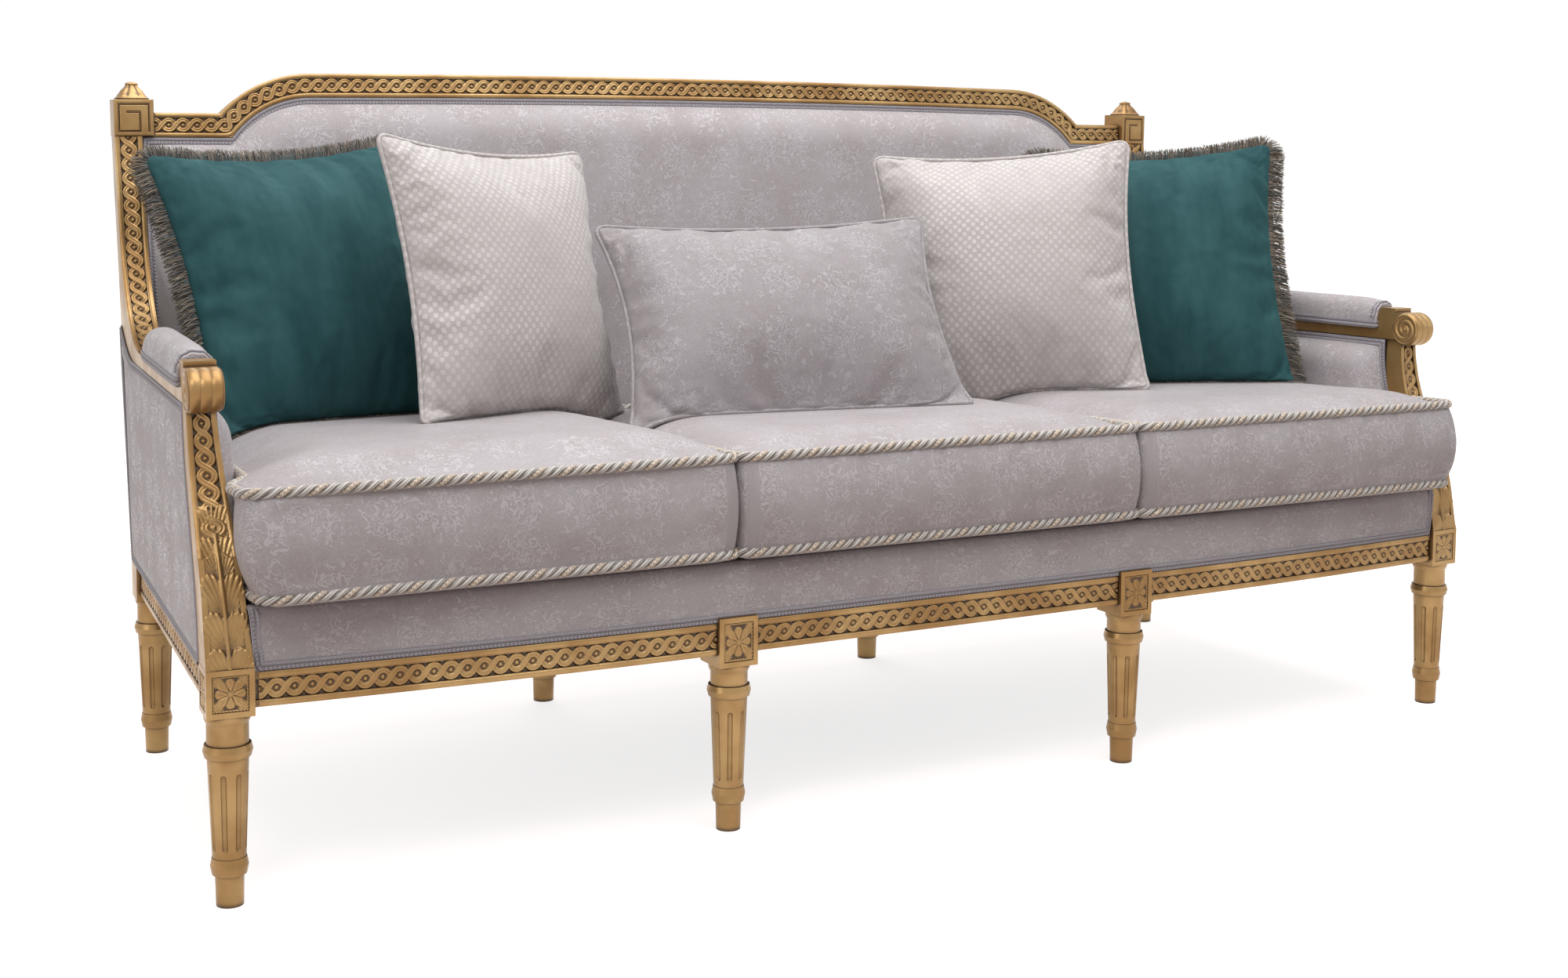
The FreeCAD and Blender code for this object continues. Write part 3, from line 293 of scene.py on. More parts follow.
@dataclass(frozen=True)
class FramePlan:
    """Driving sizes of the wooden frame, and the ways from its pieces' own axes to the room."""

    rear_line: float
    front_corner_x: float = 0.9975
    front_mid_x: float = 0.3335
    rear_corner_x: float = 0.942
    side_depth: float = 0.6825
    bow: float = 0.031
    half_block: float = 0.02875
    block_top: float = 0.296
    block_bottom: float = 0.2375
    mid_block_bottom: float = 0.229
    panel_border: float = 0.007
    rail_top: float = 0.289
    rail_height: float = 0.0425
    rail_setback: float = 0.006
    rail_fillet: float = 0.0083
    side_tilt: float = math.radians(0.84)
    stick_outer: float = 0.0285
    stick_inner: float = -0.0115
    stick_fillet: float = 0.007
    arm_top: float = 0.622
    arm_height: float = 0.0185
    sweep_radius: float = 0.2
    rake: float = math.radians(9)
    back_front_y: float = 0.066
    back_pivot: float = 0.93
    stile_depth: float = 0.042
    key_width: float = 0.0579
    key_x: float = 0.9443
    crest_end_top: float = 0.9665
    crest_rise: float = 0.071
    crest_corner_x: float = 0.816
    crest_shoulder: float = 0.2
    crest_radius: float = 39.0
    crest_height: float = 0.037
    crest_fillet: float = 0.0068
    crest_setback: float = 0.0035
    post_foot: float = 0.057
    post_head: float = 0.035
    post_head_top: float = 0.6035

    @property
    def side_angle(self) -> float:
        """Turn of the side frames in plan."""
        return math.atan((self.front_corner_x - self.rear_corner_x) / self.side_depth)

    @property
    def side_length(self) -> float:
        """Length of a side frame between its leg centres."""
        return math.hypot(self.front_corner_x - self.rear_corner_x, self.side_depth)

    @property
    def rail_middle(self) -> float:
        """Height of the middle of the seat rails."""
        return self.rail_top - self.rail_height / 2

    @property
    def stick_middle(self) -> float:
        """Outward distance of the middle of an arm or back post."""
        return (self.stick_outer + self.stick_inner) / 2

    @property
    def stick_width(self) -> float:
        """Width of an arm or back post."""
        return self.stick_outer - self.stick_inner

    @property
    def mid_leg_y(self) -> float:
        """Distance back of the middle front legs' centres."""
        return -self.side_depth - self.bow

    @property
    def bow_radius(self) -> float:
        """Radius of the bow of the outer front rails, at the leg centres."""
        run = self.front_corner_x - self.front_mid_x
        return run ** 2 / (2 * self.bow) + self.bow / 2

    def room(self, points: Points, side: Side = Side.RIGHT) -> Points:
        """Moves points from the frame's plan to the room, at one end of the sofa."""
        moved = np.array(points, float)
        moved[..., 0] *= side.value
        moved[..., 1] += self.rear_line
        return moved

    def from_side(self, points: Points, side: Side, tilt: bool = True) -> Points:
        """Moves points from a side frame's own axes to the room.

        Args:
            points: Points as outward, back and up, from the front leg's centre.
            side: End of the sofa.
            tilt: Whether the piece leans out with the arm.

        Returns:
            The points in the room.
        """
        t, s, z = points[..., 0], points[..., 1], points[..., 2]
        if tilt:
            up = z - self.block_top
            t, z = (t * math.cos(self.side_tilt) + up * math.sin(self.side_tilt),
                    self.block_top - t * math.sin(self.side_tilt) + up * math.cos(self.side_tilt))
        c, n = math.cos(self.side_angle), math.sin(self.side_angle)
        x = self.front_corner_x + t * c - s * n
        y = -self.side_depth + t * n + s * c
        return self.room(xyz(x, y, z), side)

    def from_level_side(self, points: Points, side: Side) -> Points:
        """Moves points of a piece of the side frame that doesn't lean out."""
        return self.from_side(points, side, tilt=False)

    def from_back(self, points: Points, side: Side = Side.RIGHT) -> Points:
        """Leans points of the upright back over, and moves them to the room."""
        up = points[..., 2] - self.back_pivot
        c, n = math.cos(self.rake), math.sin(self.rake)
        y = points[..., 1] * c + up * n + self.back_front_y
        z = self.back_pivot - points[..., 1] * n + up * c
        return self.room(xyz(points[..., 0], y, z), side)

    def stile_line(self, height: Points | float) -> Points | float:
        """Distance back of the back post's front edge in the side frame."""
        lean = (height - self.back_pivot) * math.tan(self.rake)
        return self.side_length + self.back_front_y + lean

    def post_front(self, height: Points) -> Points:
        """Distance back of the arm post's front face at the heights."""
        shares = ((0.0, -0.49), (0.12, -0.36), (0.3, -0.14), (0.53, 0.47), (0.75, 1.0),
                  (0.9, 1.2), (1.0, 1.25))
        return self.post_edge(shares, height)

    def post_rear(self, height: Points) -> Points:
        """Distance back of the arm post's rear edge at the heights."""
        shares = ((0.0, 0.5), (0.14, 0.54), (0.34, 0.78), (0.56, 1.24), (0.75, 1.62),
                  (0.9, 1.76), (1.0, 1.77))
        return self.post_edge(shares, height)

    def post_edge(self, shares: tuple[tuple[float, float], ...], height: Points) -> Points:
        """Reads one edge of the arm post, given as shares of its height and block width."""
        foot = self.block_top - 0.002
        ups = np.array([foot + (self.post_head_top - foot) * up for up, _ in shares])
        backs = np.array([2 * self.half_block * back for _, back in shares])
        return spline_at(ups, backs, np.asarray(height, float))

    def post_width(self, height: Points) -> Points:
        """Width of the arm post's front at the heights."""
        share = (height - self.block_top) / (self.post_head_top - self.block_top)
        return self.post_foot + (self.post_head - self.post_foot) * share

    def seat_side(self, y: Points | float) -> Points | float:
        """Half width of the seat between the side pads."""
        slope = (self.front_corner_x - self.rear_corner_x) / self.side_depth
        return self.front_corner_x - (y + self.side_depth) * slope + self.stick_inner - 0.027

    def crest_line(self, inset: float, end_x: float) -> Points:
        """Line that follows the crest from its middle to its right end.

        Args:
            inset: Distance below the crest's top edge.
            end_x: Where the line ends.

        Returns:
            Points as X, zero and height along the raked back.
        """
        top = self.crest_end_top + self.crest_rise
        far = top - self.crest_radius
        reach = self.crest_radius - self.crest_shoulder
        span = math.hypot(self.crest_corner_x, self.crest_end_top - far)
        cosine = (span ** 2 + reach ** 2 - self.crest_shoulder ** 2) / (2 * span * reach)
        angle = math.atan2(self.crest_corner_x, self.crest_end_top - far) - math.acos(cosine)
        cx, cz = reach * math.sin(angle), far + reach * math.cos(angle)
        radius = self.crest_shoulder - inset
        corner = math.acos((self.crest_end_top - inset - cz) / radius)
        long_arc = np.linspace(0, angle, 60)
        short_arc = np.linspace(angle, corner, 60)[1:]
        wide = self.crest_radius - inset
        x = np.concatenate([wide * np.sin(long_arc), cx + radius * np.sin(short_arc), [end_x]])
        z = np.concatenate([far + wide * np.cos(long_arc), cz + radius * np.cos(short_arc),
                            [self.crest_end_top - inset]])
        return xyz(x, 0.0, z)

    def front_line(self, x: Points, setback: float) -> Points:
        """Distance back of the bowed front at X, behind the block faces by the setback."""
        radius = self.bow_radius + self.half_block - setback
        off = np.maximum(np.abs(x) - self.front_mid_x, 0)
        return self.mid_leg_y + self.bow_radius - np.sqrt(radius ** 2 - off ** 2)


class Graph:
    """Adds and links the nodes of one shader tree."""

    def __init__(self, tree: bpy.types.NodeTree) -> None:
        """Keeps the tree, emptied."""
        self.tree = tree
        tree.nodes.clear()

    def feed(self, node: bpy.types.Node, inputs: dict) -> None:
        """Gives a node's inputs, by name or number, their values or other nodes' outputs."""
        for key, value in inputs.items():
            if isinstance(value, Socket):
                self.tree.links.new(value, node.inputs[key])
            else:
                node.inputs[key].default_value = value

    def add(self, kind: str, inputs: dict | None = None, **settings: object) -> bpy.types.Node:
        """Adds a node of a kind, with its inputs and settings, and returns it."""
        node = self.tree.nodes.new(kind)
        for name, value in settings.items():
            setattr(node, name, value)
        self.feed(node, inputs or {})
        return node

    def math(self, operation: str, first: object, second: object = 0.0) -> Socket:
        """Adds a sum and returns its result."""
        return self.add("ShaderNodeMath", {0: first, 1: second}, operation=operation).outputs[0]

    def times(self, first: object, second: object) -> Socket:
        """Multiplies two values."""
        return self.math("MULTIPLY", first, second)

    def plus(self, first: object, second: object) -> Socket:
        """Adds two values."""
        return self.math("ADD", first, second)

    def wave(self, value: object, rate: object) -> Socket:
        """Sine of a value times a rate."""
        return self.math("SINE", self.times(value, rate))

    def noise(self, vector: object, scale: object, detail: float = 2.0,
              roughness: float = 0.5, distortion: float = 0.0) -> Socket:
        """Adds a noise texture and returns its value."""
        inputs = {"Vector": vector, "Scale": scale, "Detail": detail, "Roughness": roughness,
                  "Distortion": distortion}
        return self.add("ShaderNodeTexNoise", inputs).outputs["Fac"]

    def between(self, value: object, low: float, high: float) -> Socket:
        """Rises smoothly from 0 to 1 as the value goes from low to high."""
        inputs = {"Value": value, "From Min": low, "From Max": high}
        return self.add("ShaderNodeMapRange", inputs,
                        interpolation_type="SMOOTHSTEP").outputs["Result"]

    def span(self, value: object, low: float, high: float) -> Socket:
        """Takes a value of 0 to 1 to the range from low to high."""
        inputs = {"Value": value, "To Min": low, "To Max": high}
        return self.add("ShaderNodeMapRange", inputs).outputs["Result"]

    def mix(self, share: object, first: object, second: object, blend: str = "MIX") -> Socket:
        """Mixes two colours and returns the result."""
        return self.add("ShaderNodeMix", {0: share, 6: first, 7: second}, data_type="RGBA",
                        blend_type=blend).outputs[2]

    def parts(self, vector: object) -> tuple[Socket, ...]:
        """Splits a vector into its three parts."""
        return tuple(self.add("ShaderNodeSeparateXYZ", {0: vector}).outputs)

    def room(self) -> Socket:
        """Coordinates in the room, in metres."""
        return self.add("ShaderNodeTexCoord").outputs["Object"]


class EffectGroups:
    """Shader groups that several finishes share."""

    @staticmethod
    def start(name: str, second: str,
              *results: str) -> tuple[Graph, Socket, Socket, bpy.types.Node]:
        """Starts a group that takes a place and one number.

        Args:
            name: Its name.
            second: Name of the number.
            *results: Names of the numbers that it puts out.

        Returns:
            The group's graph, its two inputs and its output node.
        """
        tree = bpy.data.node_groups.new(name, "ShaderNodeTree")
        tree.interface.new_socket("Place", in_out="INPUT", socket_type="NodeSocketVector")
        tree.interface.new_socket(second, in_out="INPUT", socket_type="NodeSocketFloat")
        for label in results:
            tree.interface.new_socket(label, in_out="OUTPUT", socket_type="NodeSocketFloat")
        graph = Graph(tree)
        given = graph.add("NodeGroupInput").outputs
        return graph, given["Place"], given[second], graph.add("NodeGroupOutput")

    @classmethod
    def weave(cls) -> bpy.types.NodeTree:
        """Crossing threads, so many to a metre, as a height that goes over and under."""
        graph, place, threads, out = cls.start("crossing threads", "Threads", "Height")
        u, v, _ = graph.parts(place)
        turns = graph.times(threads, math.tau)
        crossing = graph.times(graph.wave(u, turns), graph.wave(v, turns))
        graph.feed(out, {"Height": graph.span(crossing, 0.5, 1.0)})
        return graph.tree

    @classmethod
    def figure(cls) -> bpy.types.NodeTree:
        """Winding lines of a damask figure of a size, gathered in loose flowers."""
        graph, place, size, out = cls.start("winding figure", "Size", "Lines", "Flower")
        fine = graph.noise(place, graph.math("DIVIDE", 1.0, size), 1.2, distortion=0.5)
        scale = graph.math("DIVIDE", 0.13, size)
        rose = graph.add("ShaderNodeTexVoronoi",
                         {"Vector": place, "Randomness": 0.4, "Scale": scale},
                         voronoi_dimensions="2D").outputs["Distance"]
        turns = graph.plus(graph.times(fine, 40.0), graph.times(rose, 26.0))
        graph.feed(out, {
            "Lines": graph.between(graph.math("SINE", turns), -0.15, 0.45),
            "Flower": graph.between(graph.plus(rose, graph.times(fine, 1.5)), 1.3, 0.95)})
        return graph.tree

    @classmethod
    def age(cls) -> bpy.types.NodeTree:
        """Patches of old gilding, its dirt and painted shade in the hollows, and its fine relief.
        """
        graph, place, hollow, out = cls.start("old gilding", "Hollow", "Dirt and shade", "Patch", "Height")
        speck = graph.times(graph.math("SUBTRACT", graph.noise(place, 140.0, 3.0, 0.6), 0.5), 0.5)
        graph.feed(out, {
            # Darker the deeper the hollow: partly real dirt and toner, partly painted shade in the
            # recesses.
            "Dirt and shade": graph.between(graph.plus(hollow, speck), 0.35, 1.15),
            "Patch": graph.between(graph.noise(place, 11.0, 3.0, 0.6), 0.35, 0.7),
            "Height": graph.noise(place, 420.0)})
        return graph.tree


class Cloth(Enum):
    """Cloths that cover the sofa."""

    DAMASK = "damask"
    SHADED = "damask of the small pillow"
    GIMP = "gimp"
    CORD = "twisted cord"
    VELVET = "teal velvet"
    CHECK = "silver check"
    FRINGE = "brush fringe"
    JUTE = "jute webbing"
    LINING = "black lining"


class Paint(Graph):
    """One material while it is built."""

    def __init__(self, name: str) -> None:
        """Starts the material with a Principled shader."""
        self.material = bpy.data.materials.new(name)
        self.material.use_nodes = True
        super().__init__(self.material.node_tree)
        self.shader = self.add("ShaderNodeBsdfPrincipled")
        self.add("ShaderNodeOutputMaterial", {0: self.shader.outputs[0]})

    def cloth(self) -> Socket:
        """Coordinates on the cloth, in metres, that each soft piece carries."""
        return self.add("ShaderNodeAttribute", attribute_name="place").outputs["Vector"]

    def hollow(self) -> Socket:
        """How deep in its carving or braid a point lies, 0 to 1."""
        return self.add("ShaderNodeAttribute", attribute_name="hollow").outputs["Fac"]

    def group(self, tree: bpy.types.NodeTree, inputs: dict) -> bpy.types.NodeOutputs:
        """Adds a shared group and returns what it puts out."""
        return self.add("ShaderNodeGroup", inputs, node_tree=tree).outputs

    def finish(self, colour: Socket, rough: Socket, relief: tuple | None,
               **others: object) -> Material:
        """Ends the material.

        Args:
            colour: Base colour.
            rough: Roughness.
            relief: Height, depth in metres and strength of a fine relief, or None.
            **others: The shader's other inputs, with _ for a space.

        Returns:
            The material.
        """
        inputs = {"Base Color": colour, "Roughness": rough}
        inputs.update({name.replace("_", " "): value for name, value in others.items()})
        if relief:
            bump = dict(zip(("Height", "Distance", "Strength"), relief))
            inputs["Normal"] = self.add("ShaderNodeBump", bump).outputs[0]
        self.feed(self.shader, inputs)
        return self.material


class Finishes:
    """Builds each material once."""

    def __init__(self) -> None:
        """Builds the shared groups and the materials."""
        self.weave = EffectGroups.weave()
        self.figure = EffectGroups.figure()
        self.age = EffectGroups.age()
        self.gilt = self.gilded()
        self.beech = self.bare_wood()
        self.steel = self.plain_steel()
        self.cloth = {
            Cloth.DAMASK: self.damask(Cloth.DAMASK, 1.0),
            # The small pillow's damask is the same cloth made darker: painted shade.
            Cloth.SHADED: self.damask(Cloth.SHADED, 0.76),
            Cloth.GIMP: self.braid(),
            Cloth.CORD: self.cord(),
            Cloth.VELVET: self.velvet(),
            Cloth.CHECK: self.check(),
            Cloth.FRINGE: self.fringe(),
            Cloth.JUTE: self.plain_cloth(Cloth.JUTE, tone(150, 128, 96), 420.0),
            Cloth.LINING: self.plain_cloth(Cloth.LINING, tone(42, 41, 42), 900.0),
        }

    def threads(self, paint: Paint, place: Socket, count: float) -> Socket:
        """Adds the crossing threads of a plain weave."""
        return paint.group(self.weave, {"Place": place, "Threads": count})["Height"]

    def gilded(self) -> Material:
        """Matte antique gold, bright on the heights and brown in the hollows with dirt and painted
        shade.
        """
        paint = Paint("antique gilding")
        worn = paint.group(self.age, {"Place": paint.room(), "Hollow": paint.hollow()})
        # Ambient occlusion darkens the creases: painted shade.
        painted_crease_shade = paint.add("ShaderNodeAmbientOcclusion", {"Distance": 0.009}, samples=8).outputs["AO"]
        dirt_and_shade = paint.math("MAXIMUM", worn["Dirt and shade"], paint.between(painted_crease_shade, 0.92, 0.48))
        gold = paint.mix(worn["Patch"], tone(150, 114, 68), tone(178, 145, 96))
        # Mixes toward dark brown and less metal where dirt and painted shade lie.
        return paint.finish(paint.mix(dirt_and_shade, gold, tone(64, 43, 21)),
                            paint.span(worn["Patch"], 0.38, 0.27), (worn["Height"], 0.0004, 0.35),
                            Metallic=paint.span(dirt_and_shade, 0.62, 0.1))

    @staticmethod
    def bare_wood() -> Material:
        """Sanded beech with short flecks."""
        paint = Paint("plain beech")
        grain = paint.noise(paint.room(), 55.0, 4.0, 0.7)
        return paint.finish(paint.mix(grain, tone(196, 160, 118), tone(216, 184, 144)),
                            paint.span(grain, 0.5, 0.68), (grain, 0.0004, 0.4))

    @staticmethod
    def plain_steel() -> Material:
        """Plain drawn steel of the screws."""
        paint = Paint("screw steel")
        scratch = paint.noise(paint.room(), 900.0)
        return paint.finish(paint.mix(scratch, tone(150, 150, 150), tone(188, 188, 186)),
                            paint.span(scratch, 0.3, 0.5), None, Metallic=1.0)

    def damask(self, kind: Cloth, shade: float) -> Material:
        """Silver grey damask with a satin figure of winding lines; a shade below 1 darkens a copy
        with painted shade.
        """
        paint = Paint(kind.value)
        place = paint.cloth()
        figure = paint.group(self.figure, {"Place": place, "Size": 0.0115})
        shown = paint.times(figure["Lines"], paint.span(figure["Flower"], 0.25, 1.0))
        cloud = paint.between(paint.noise(place, 9.0, 4.0, 0.6), 0.3, 0.7)
        ground = paint.mix(cloud, tone(162, 153, 154), tone(172, 165, 167))
        colour = paint.mix(paint.times(shown, 0.45), ground, tone(206, 201, 205))
        # Multiplies the colour by the shade factor: painted shade on the small pillow's copy.
        colour = paint.mix(1.0, colour, (shade, shade, shade, 1.0), "MULTIPLY")
        height = paint.plus(paint.times(self.threads(paint, place, 1400.0), 0.25),
                            paint.times(shown, 0.75))
        return paint.finish(colour, paint.span(shown, 0.62, 0.34), (height, 0.0005, 0.5),
                            Sheen_Weight=0.2, Sheen_Roughness=0.4, Specular_IOR_Level=0.3)

    @staticmethod
    def braid() -> Material:
        """Grey gimp, darker in the hollows between its cords with painted shade, so the crests look
        lit.
        """
        paint = Paint(Cloth.GIMP.value)
        where = paint.room()
        mottle = paint.noise(where, 240.0)
        cord = paint.mix(mottle, tone(150, 144, 149), tone(178, 172, 177))
        # Hollows between the cords mix toward dark grey: painted shade.
        return paint.finish(paint.mix(paint.hollow(), cord, tone(74, 68, 74)),
                            paint.span(mottle, 0.6, 0.8),
                            (paint.noise(where, 1500.0, 1.0), 0.0003, 0.5), Sheen_Weight=0.25)

    @staticmethod
    def cord() -> Material:
        """Twisted cord of cream, silver and taupe strands, with painted shade in the grooves
        between them.
        """
        paint = Paint(Cloth.CORD.value)
        strand, along, around = paint.parts(paint.cloth())
        ply = paint.math("SINE", paint.plus(paint.times(along, 260.0),
                                            paint.times(around, 9 * math.tau)))
        bead = paint.times(paint.wave(along, 1500.0), paint.wave(around, 6 * math.tau))
        braided = paint.mix(paint.between(bead, -0.3, 0.4), tone(172, 148, 126),
                            tone(222, 210, 194))
        silver = paint.mix(paint.between(ply, -0.9, 0.3), tone(146, 138, 132), tone(212, 206, 199))
        colour = paint.mix(paint.between(strand, 0.32, 0.36), braided, silver)
        # Grooves between the strands mix toward dark brown: painted shade.
        return paint.finish(paint.mix(paint.hollow(), colour, tone(66, 54, 44)),
                            paint.span(ply, 0.42, 0.6), (ply, 0.0003, 0.4), Sheen_Weight=0.3)

    @staticmethod
    def velvet() -> Material:
        """Teal velvet with a brushed nap."""
        paint = Paint(Cloth.VELVET.value)
        place = paint.cloth()
        brushed = paint.add("ShaderNodeMapping", {"Vector": place, "Scale": (1.0, 0.35, 1.0)})
        nap = paint.noise(brushed.outputs[0], 16.0, 4.0, 0.65)
        pile = paint.noise(place, 900.0, 1.0)
        colour = paint.mix(paint.between(nap, 0.3, 0.72), tone(30, 68, 71), tone(49, 88, 90))
        return paint.finish(paint.mix(paint.times(pile, 0.35), colour, tone(28, 66, 74)),
                            paint.span(nap, 0.85, 0.65), (pile, 0.0005, 0.4), Sheen_Weight=0.35,
                            Sheen_Roughness=0.35, Sheen_Tint=tone(120, 176, 182),
                            Specular_IOR_Level=0.2)

    def check(self) -> Material:
        """Pale silver cloth with a small woven check of dots."""
        paint = Paint(Cloth.CHECK.value)
        place = paint.cloth()
        u, v, _ = paint.parts(place)
        cells = math.tau / 0.015
        dots = paint.between(paint.times(paint.wave(u, cells), paint.wave(v, cells)), -0.05, 0.45)
        ground = paint.mix(paint.noise(place, 9.0), tone(173, 165, 163), tone(185, 178, 176))
        seen = paint.span(paint.between(paint.noise(place, 6.0, 1.0), 0.35, 0.65), 0.2, 0.55)
        height = paint.plus(paint.times(self.threads(paint, place, 900.0), 0.3),
                            paint.times(dots, 0.7))
        return paint.finish(paint.mix(paint.times(dots, seen), ground, tone(214, 208, 205)),
                            paint.span(dots, 0.66, 0.46), (height, 0.0006, 0.5), Sheen_Weight=0.25)

    @staticmethod
    def fringe() -> Material:
        """Cut threads of brown, beige and teal, darker towards their roots with painted shade."""
        paint = Paint(Cloth.FRINGE.value)
        thread, down, _ = paint.parts(paint.cloth())
        mixed = paint.mix(paint.between(thread, 0.45, 0.6), tone(70, 60, 51), tone(150, 135, 115))
        mixed = paint.mix(paint.between(thread, 0.9, 0.94), mixed, tone(66, 90, 92))
        # Mixes toward dark brown near the roots: painted shade.
        return paint.finish(paint.mix(paint.span(down, 0.6, 0.0), mixed, tone(52, 46, 42)),
                            paint.span(thread, 0.6, 0.8), None, Sheen_Weight=0.3)

    def plain_cloth(self, kind: Cloth, colour: Colour, count: float) -> Material:
        """Plain woven cloth for what is hidden under the seat and in the back."""
        paint = Paint(kind.value)
        where = paint.room()
        cloud = paint.noise(where, 30.0, 3.0)
        darker = tuple(c * 0.8 for c in colour[:3]) + (1.0,)
        return paint.finish(paint.mix(cloud, colour, darker), paint.span(cloud, 0.75, 0.9),
                            (self.threads(paint, where, count), 0.0006, 0.5))


class Piece:
    """Attaches a finished object to its body and hides what it replaces, in one call."""

    @staticmethod
    def settle(thing: bpy.types.Object, slot: str, body: str = FRAME_BODY,
               stands_for: tuple[str, ...] = (), fill: float | None = None) -> bpy.types.Object:
        """Lets an object ride on its body and hides the CAD nodes that it stands for.

        Args:
            thing: The object.
            slot: The record's material slot; not used.
            body: The body it rides on.
            stands_for: CAD nodes that it replaces.
            fill: How full a padded piece is, or None; not used.

        Returns:
            The object.
        """
        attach(thing, body)
        if stands_for:
            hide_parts(*stands_for)
        LOG.info("%s: %d faces", thing.name, len(thing.data.polygons))
        return thing


@dataclass
class ScrollCarving:
    """Running scroll with beaded eyes between two rounded fillets."""

    pitch: float = 0.0212
    rows: int = 26
    lane_columns: int = 31
    fillet_columns: int = 7
    depth: float = 0.0034
    proud: float = 0.0009
    tile: Points = field(init=False)

    def __post_init__(self) -> None:
        """Works out the heights of one repeat."""
        self.tile = self.repeat()

    def repeat(self) -> Points:
        """Heights of one repeat.

        Returns:
            Rows along the band by columns across its lane, from minus the depth to 0.
        """
        pitch, reach, wide = self.pitch * 1000, 8.3, 4.3
        s = np.arange(self.rows) / self.rows * pitch
        w = np.linspace(-12.25, 12.25, self.lane_columns)
        grid_s, grid_w = np.meshgrid(s, w, indexing="ij")
        slope = math.asin(2 * reach / pitch)
        leave = slope - math.pi / 2
        bow = np.linspace(leave - 2.0, leave, 40)
        first = reach * np.stack([np.cos(bow), np.sin(bow)], 1)
        last = np.array([pitch, 0.0]) - first[::-1]
        middle = first[-1] + (last[0] - first[-1]) * np.linspace(0, 1, 24)[1:-1, None]
        ribbon = np.concatenate([first, middle, last])
        tuck = 1.5 * np.exp(-np.minimum(np.arange(len(ribbon)), np.arange(len(ribbon))[::-1]) / 9)
        height = np.full(grid_s.shape, -self.depth * 1000)
        for k in (-2, -1, 0, 1, 2):
            gaps = np.hypot(grid_s[..., None] - ribbon[:, 0] - k * pitch,
                            grid_w[..., None] - ribbon[:, 1])
            near = gaps.min(-1) / wide
            strands = dome(near, 4) - 0.28 * np.exp(-(near / 0.16) ** 2)
            top = -3.3 + 3.3 * strands - tuck[gaps.argmin(-1)]
            height = np.maximum(height, np.where(near < 1, top, -9))
            eye = np.hypot(grid_s - k * pitch, grid_w)
            bead = -2.7 + 2.3 * dome(eye / 2.7)
            height = np.maximum(height, np.where(eye < 2.7, bead, np.where(eye < 4.6, -2.9, -9)))
        return height / 1000

    def columns(self, half_width: Points, fillet: float) -> tuple[Points, Points]:
        """Places across the band and the fillets' heights.

        Args:
            half_width: Half the band's width at each row.
            fillet: Width of a fillet.

        Returns:
            Places across, row by column, and heights of the columns outside the lane.
        """
        lane = np.linspace(-1, 1, self.lane_columns)
        bead = np.linspace(0, 1, self.fillet_columns + 1)[1:]
        inner = (half_width - fillet)[:, None]
        right = inner + fillet * bead
        across = np.concatenate([-right[:, ::-1], inner * lane, right], 1)
        rounded = -0.0006 + (self.proud + 0.0006) * dome(2 * bead - 1)
        return across, rounded

    def lay(self, draft: MeshDraft, line: Points, place: Callable, side: Side,
            half_width: float | Callable, fillet: float, across: tuple | None = None,
            normal: tuple | None = None, cover: Callable | None = None) -> None:
        """Lays the carving along a line.

        Args:
            draft: Where the faces go.
            line: Middle of the band, in the piece's own axes.
            place: Function from those axes to the room.
            side: End of the sofa.
            half_width: Half the band's width, or a function of the points.
            fillet: Width of the plain fillet on each side.
            across: Fixed direction across the band, if its normal turns.
            normal: Fixed direction out of the wood, if the band turns in its plane.
            cover: Function that changes the heights, given shares along and across.
        """
        path = Path(line)
        repeats = max(1, round(path.length / self.pitch))
        distance = np.linspace(0, path.length, repeats * self.rows + 1)
        middle = path.at(distance)
        sideways, out = path.sides(distance, across, normal)
        out = out / np.linalg.norm(out, axis=1, keepdims=True)
        half = half_width(middle) if callable(half_width) else np.full(len(middle), half_width)
        where, rounded = self.columns(half, fillet)
        outer = np.broadcast_to(rounded, (len(distance), len(rounded)))
        lane = self.tile[np.arange(len(distance)) % self.rows]
        height = np.concatenate([outer[:, ::-1], lane, outer], 1)
        if cover is not None:
            height = cover(height, middle, np.broadcast_to(where / half[:, None], height.shape))
        points = middle[:, None] + sideways[:, None] * where[..., None] + \
            out[:, None] * height[..., None]
        # The hollow mark, 0 on the surface to 1 at full depth, makes the gilding darker there: dirt
        # and painted shade.
        draft.grid(place(points, side), hollow=unit(-height / self.depth), flip=side is Side.LEFT)


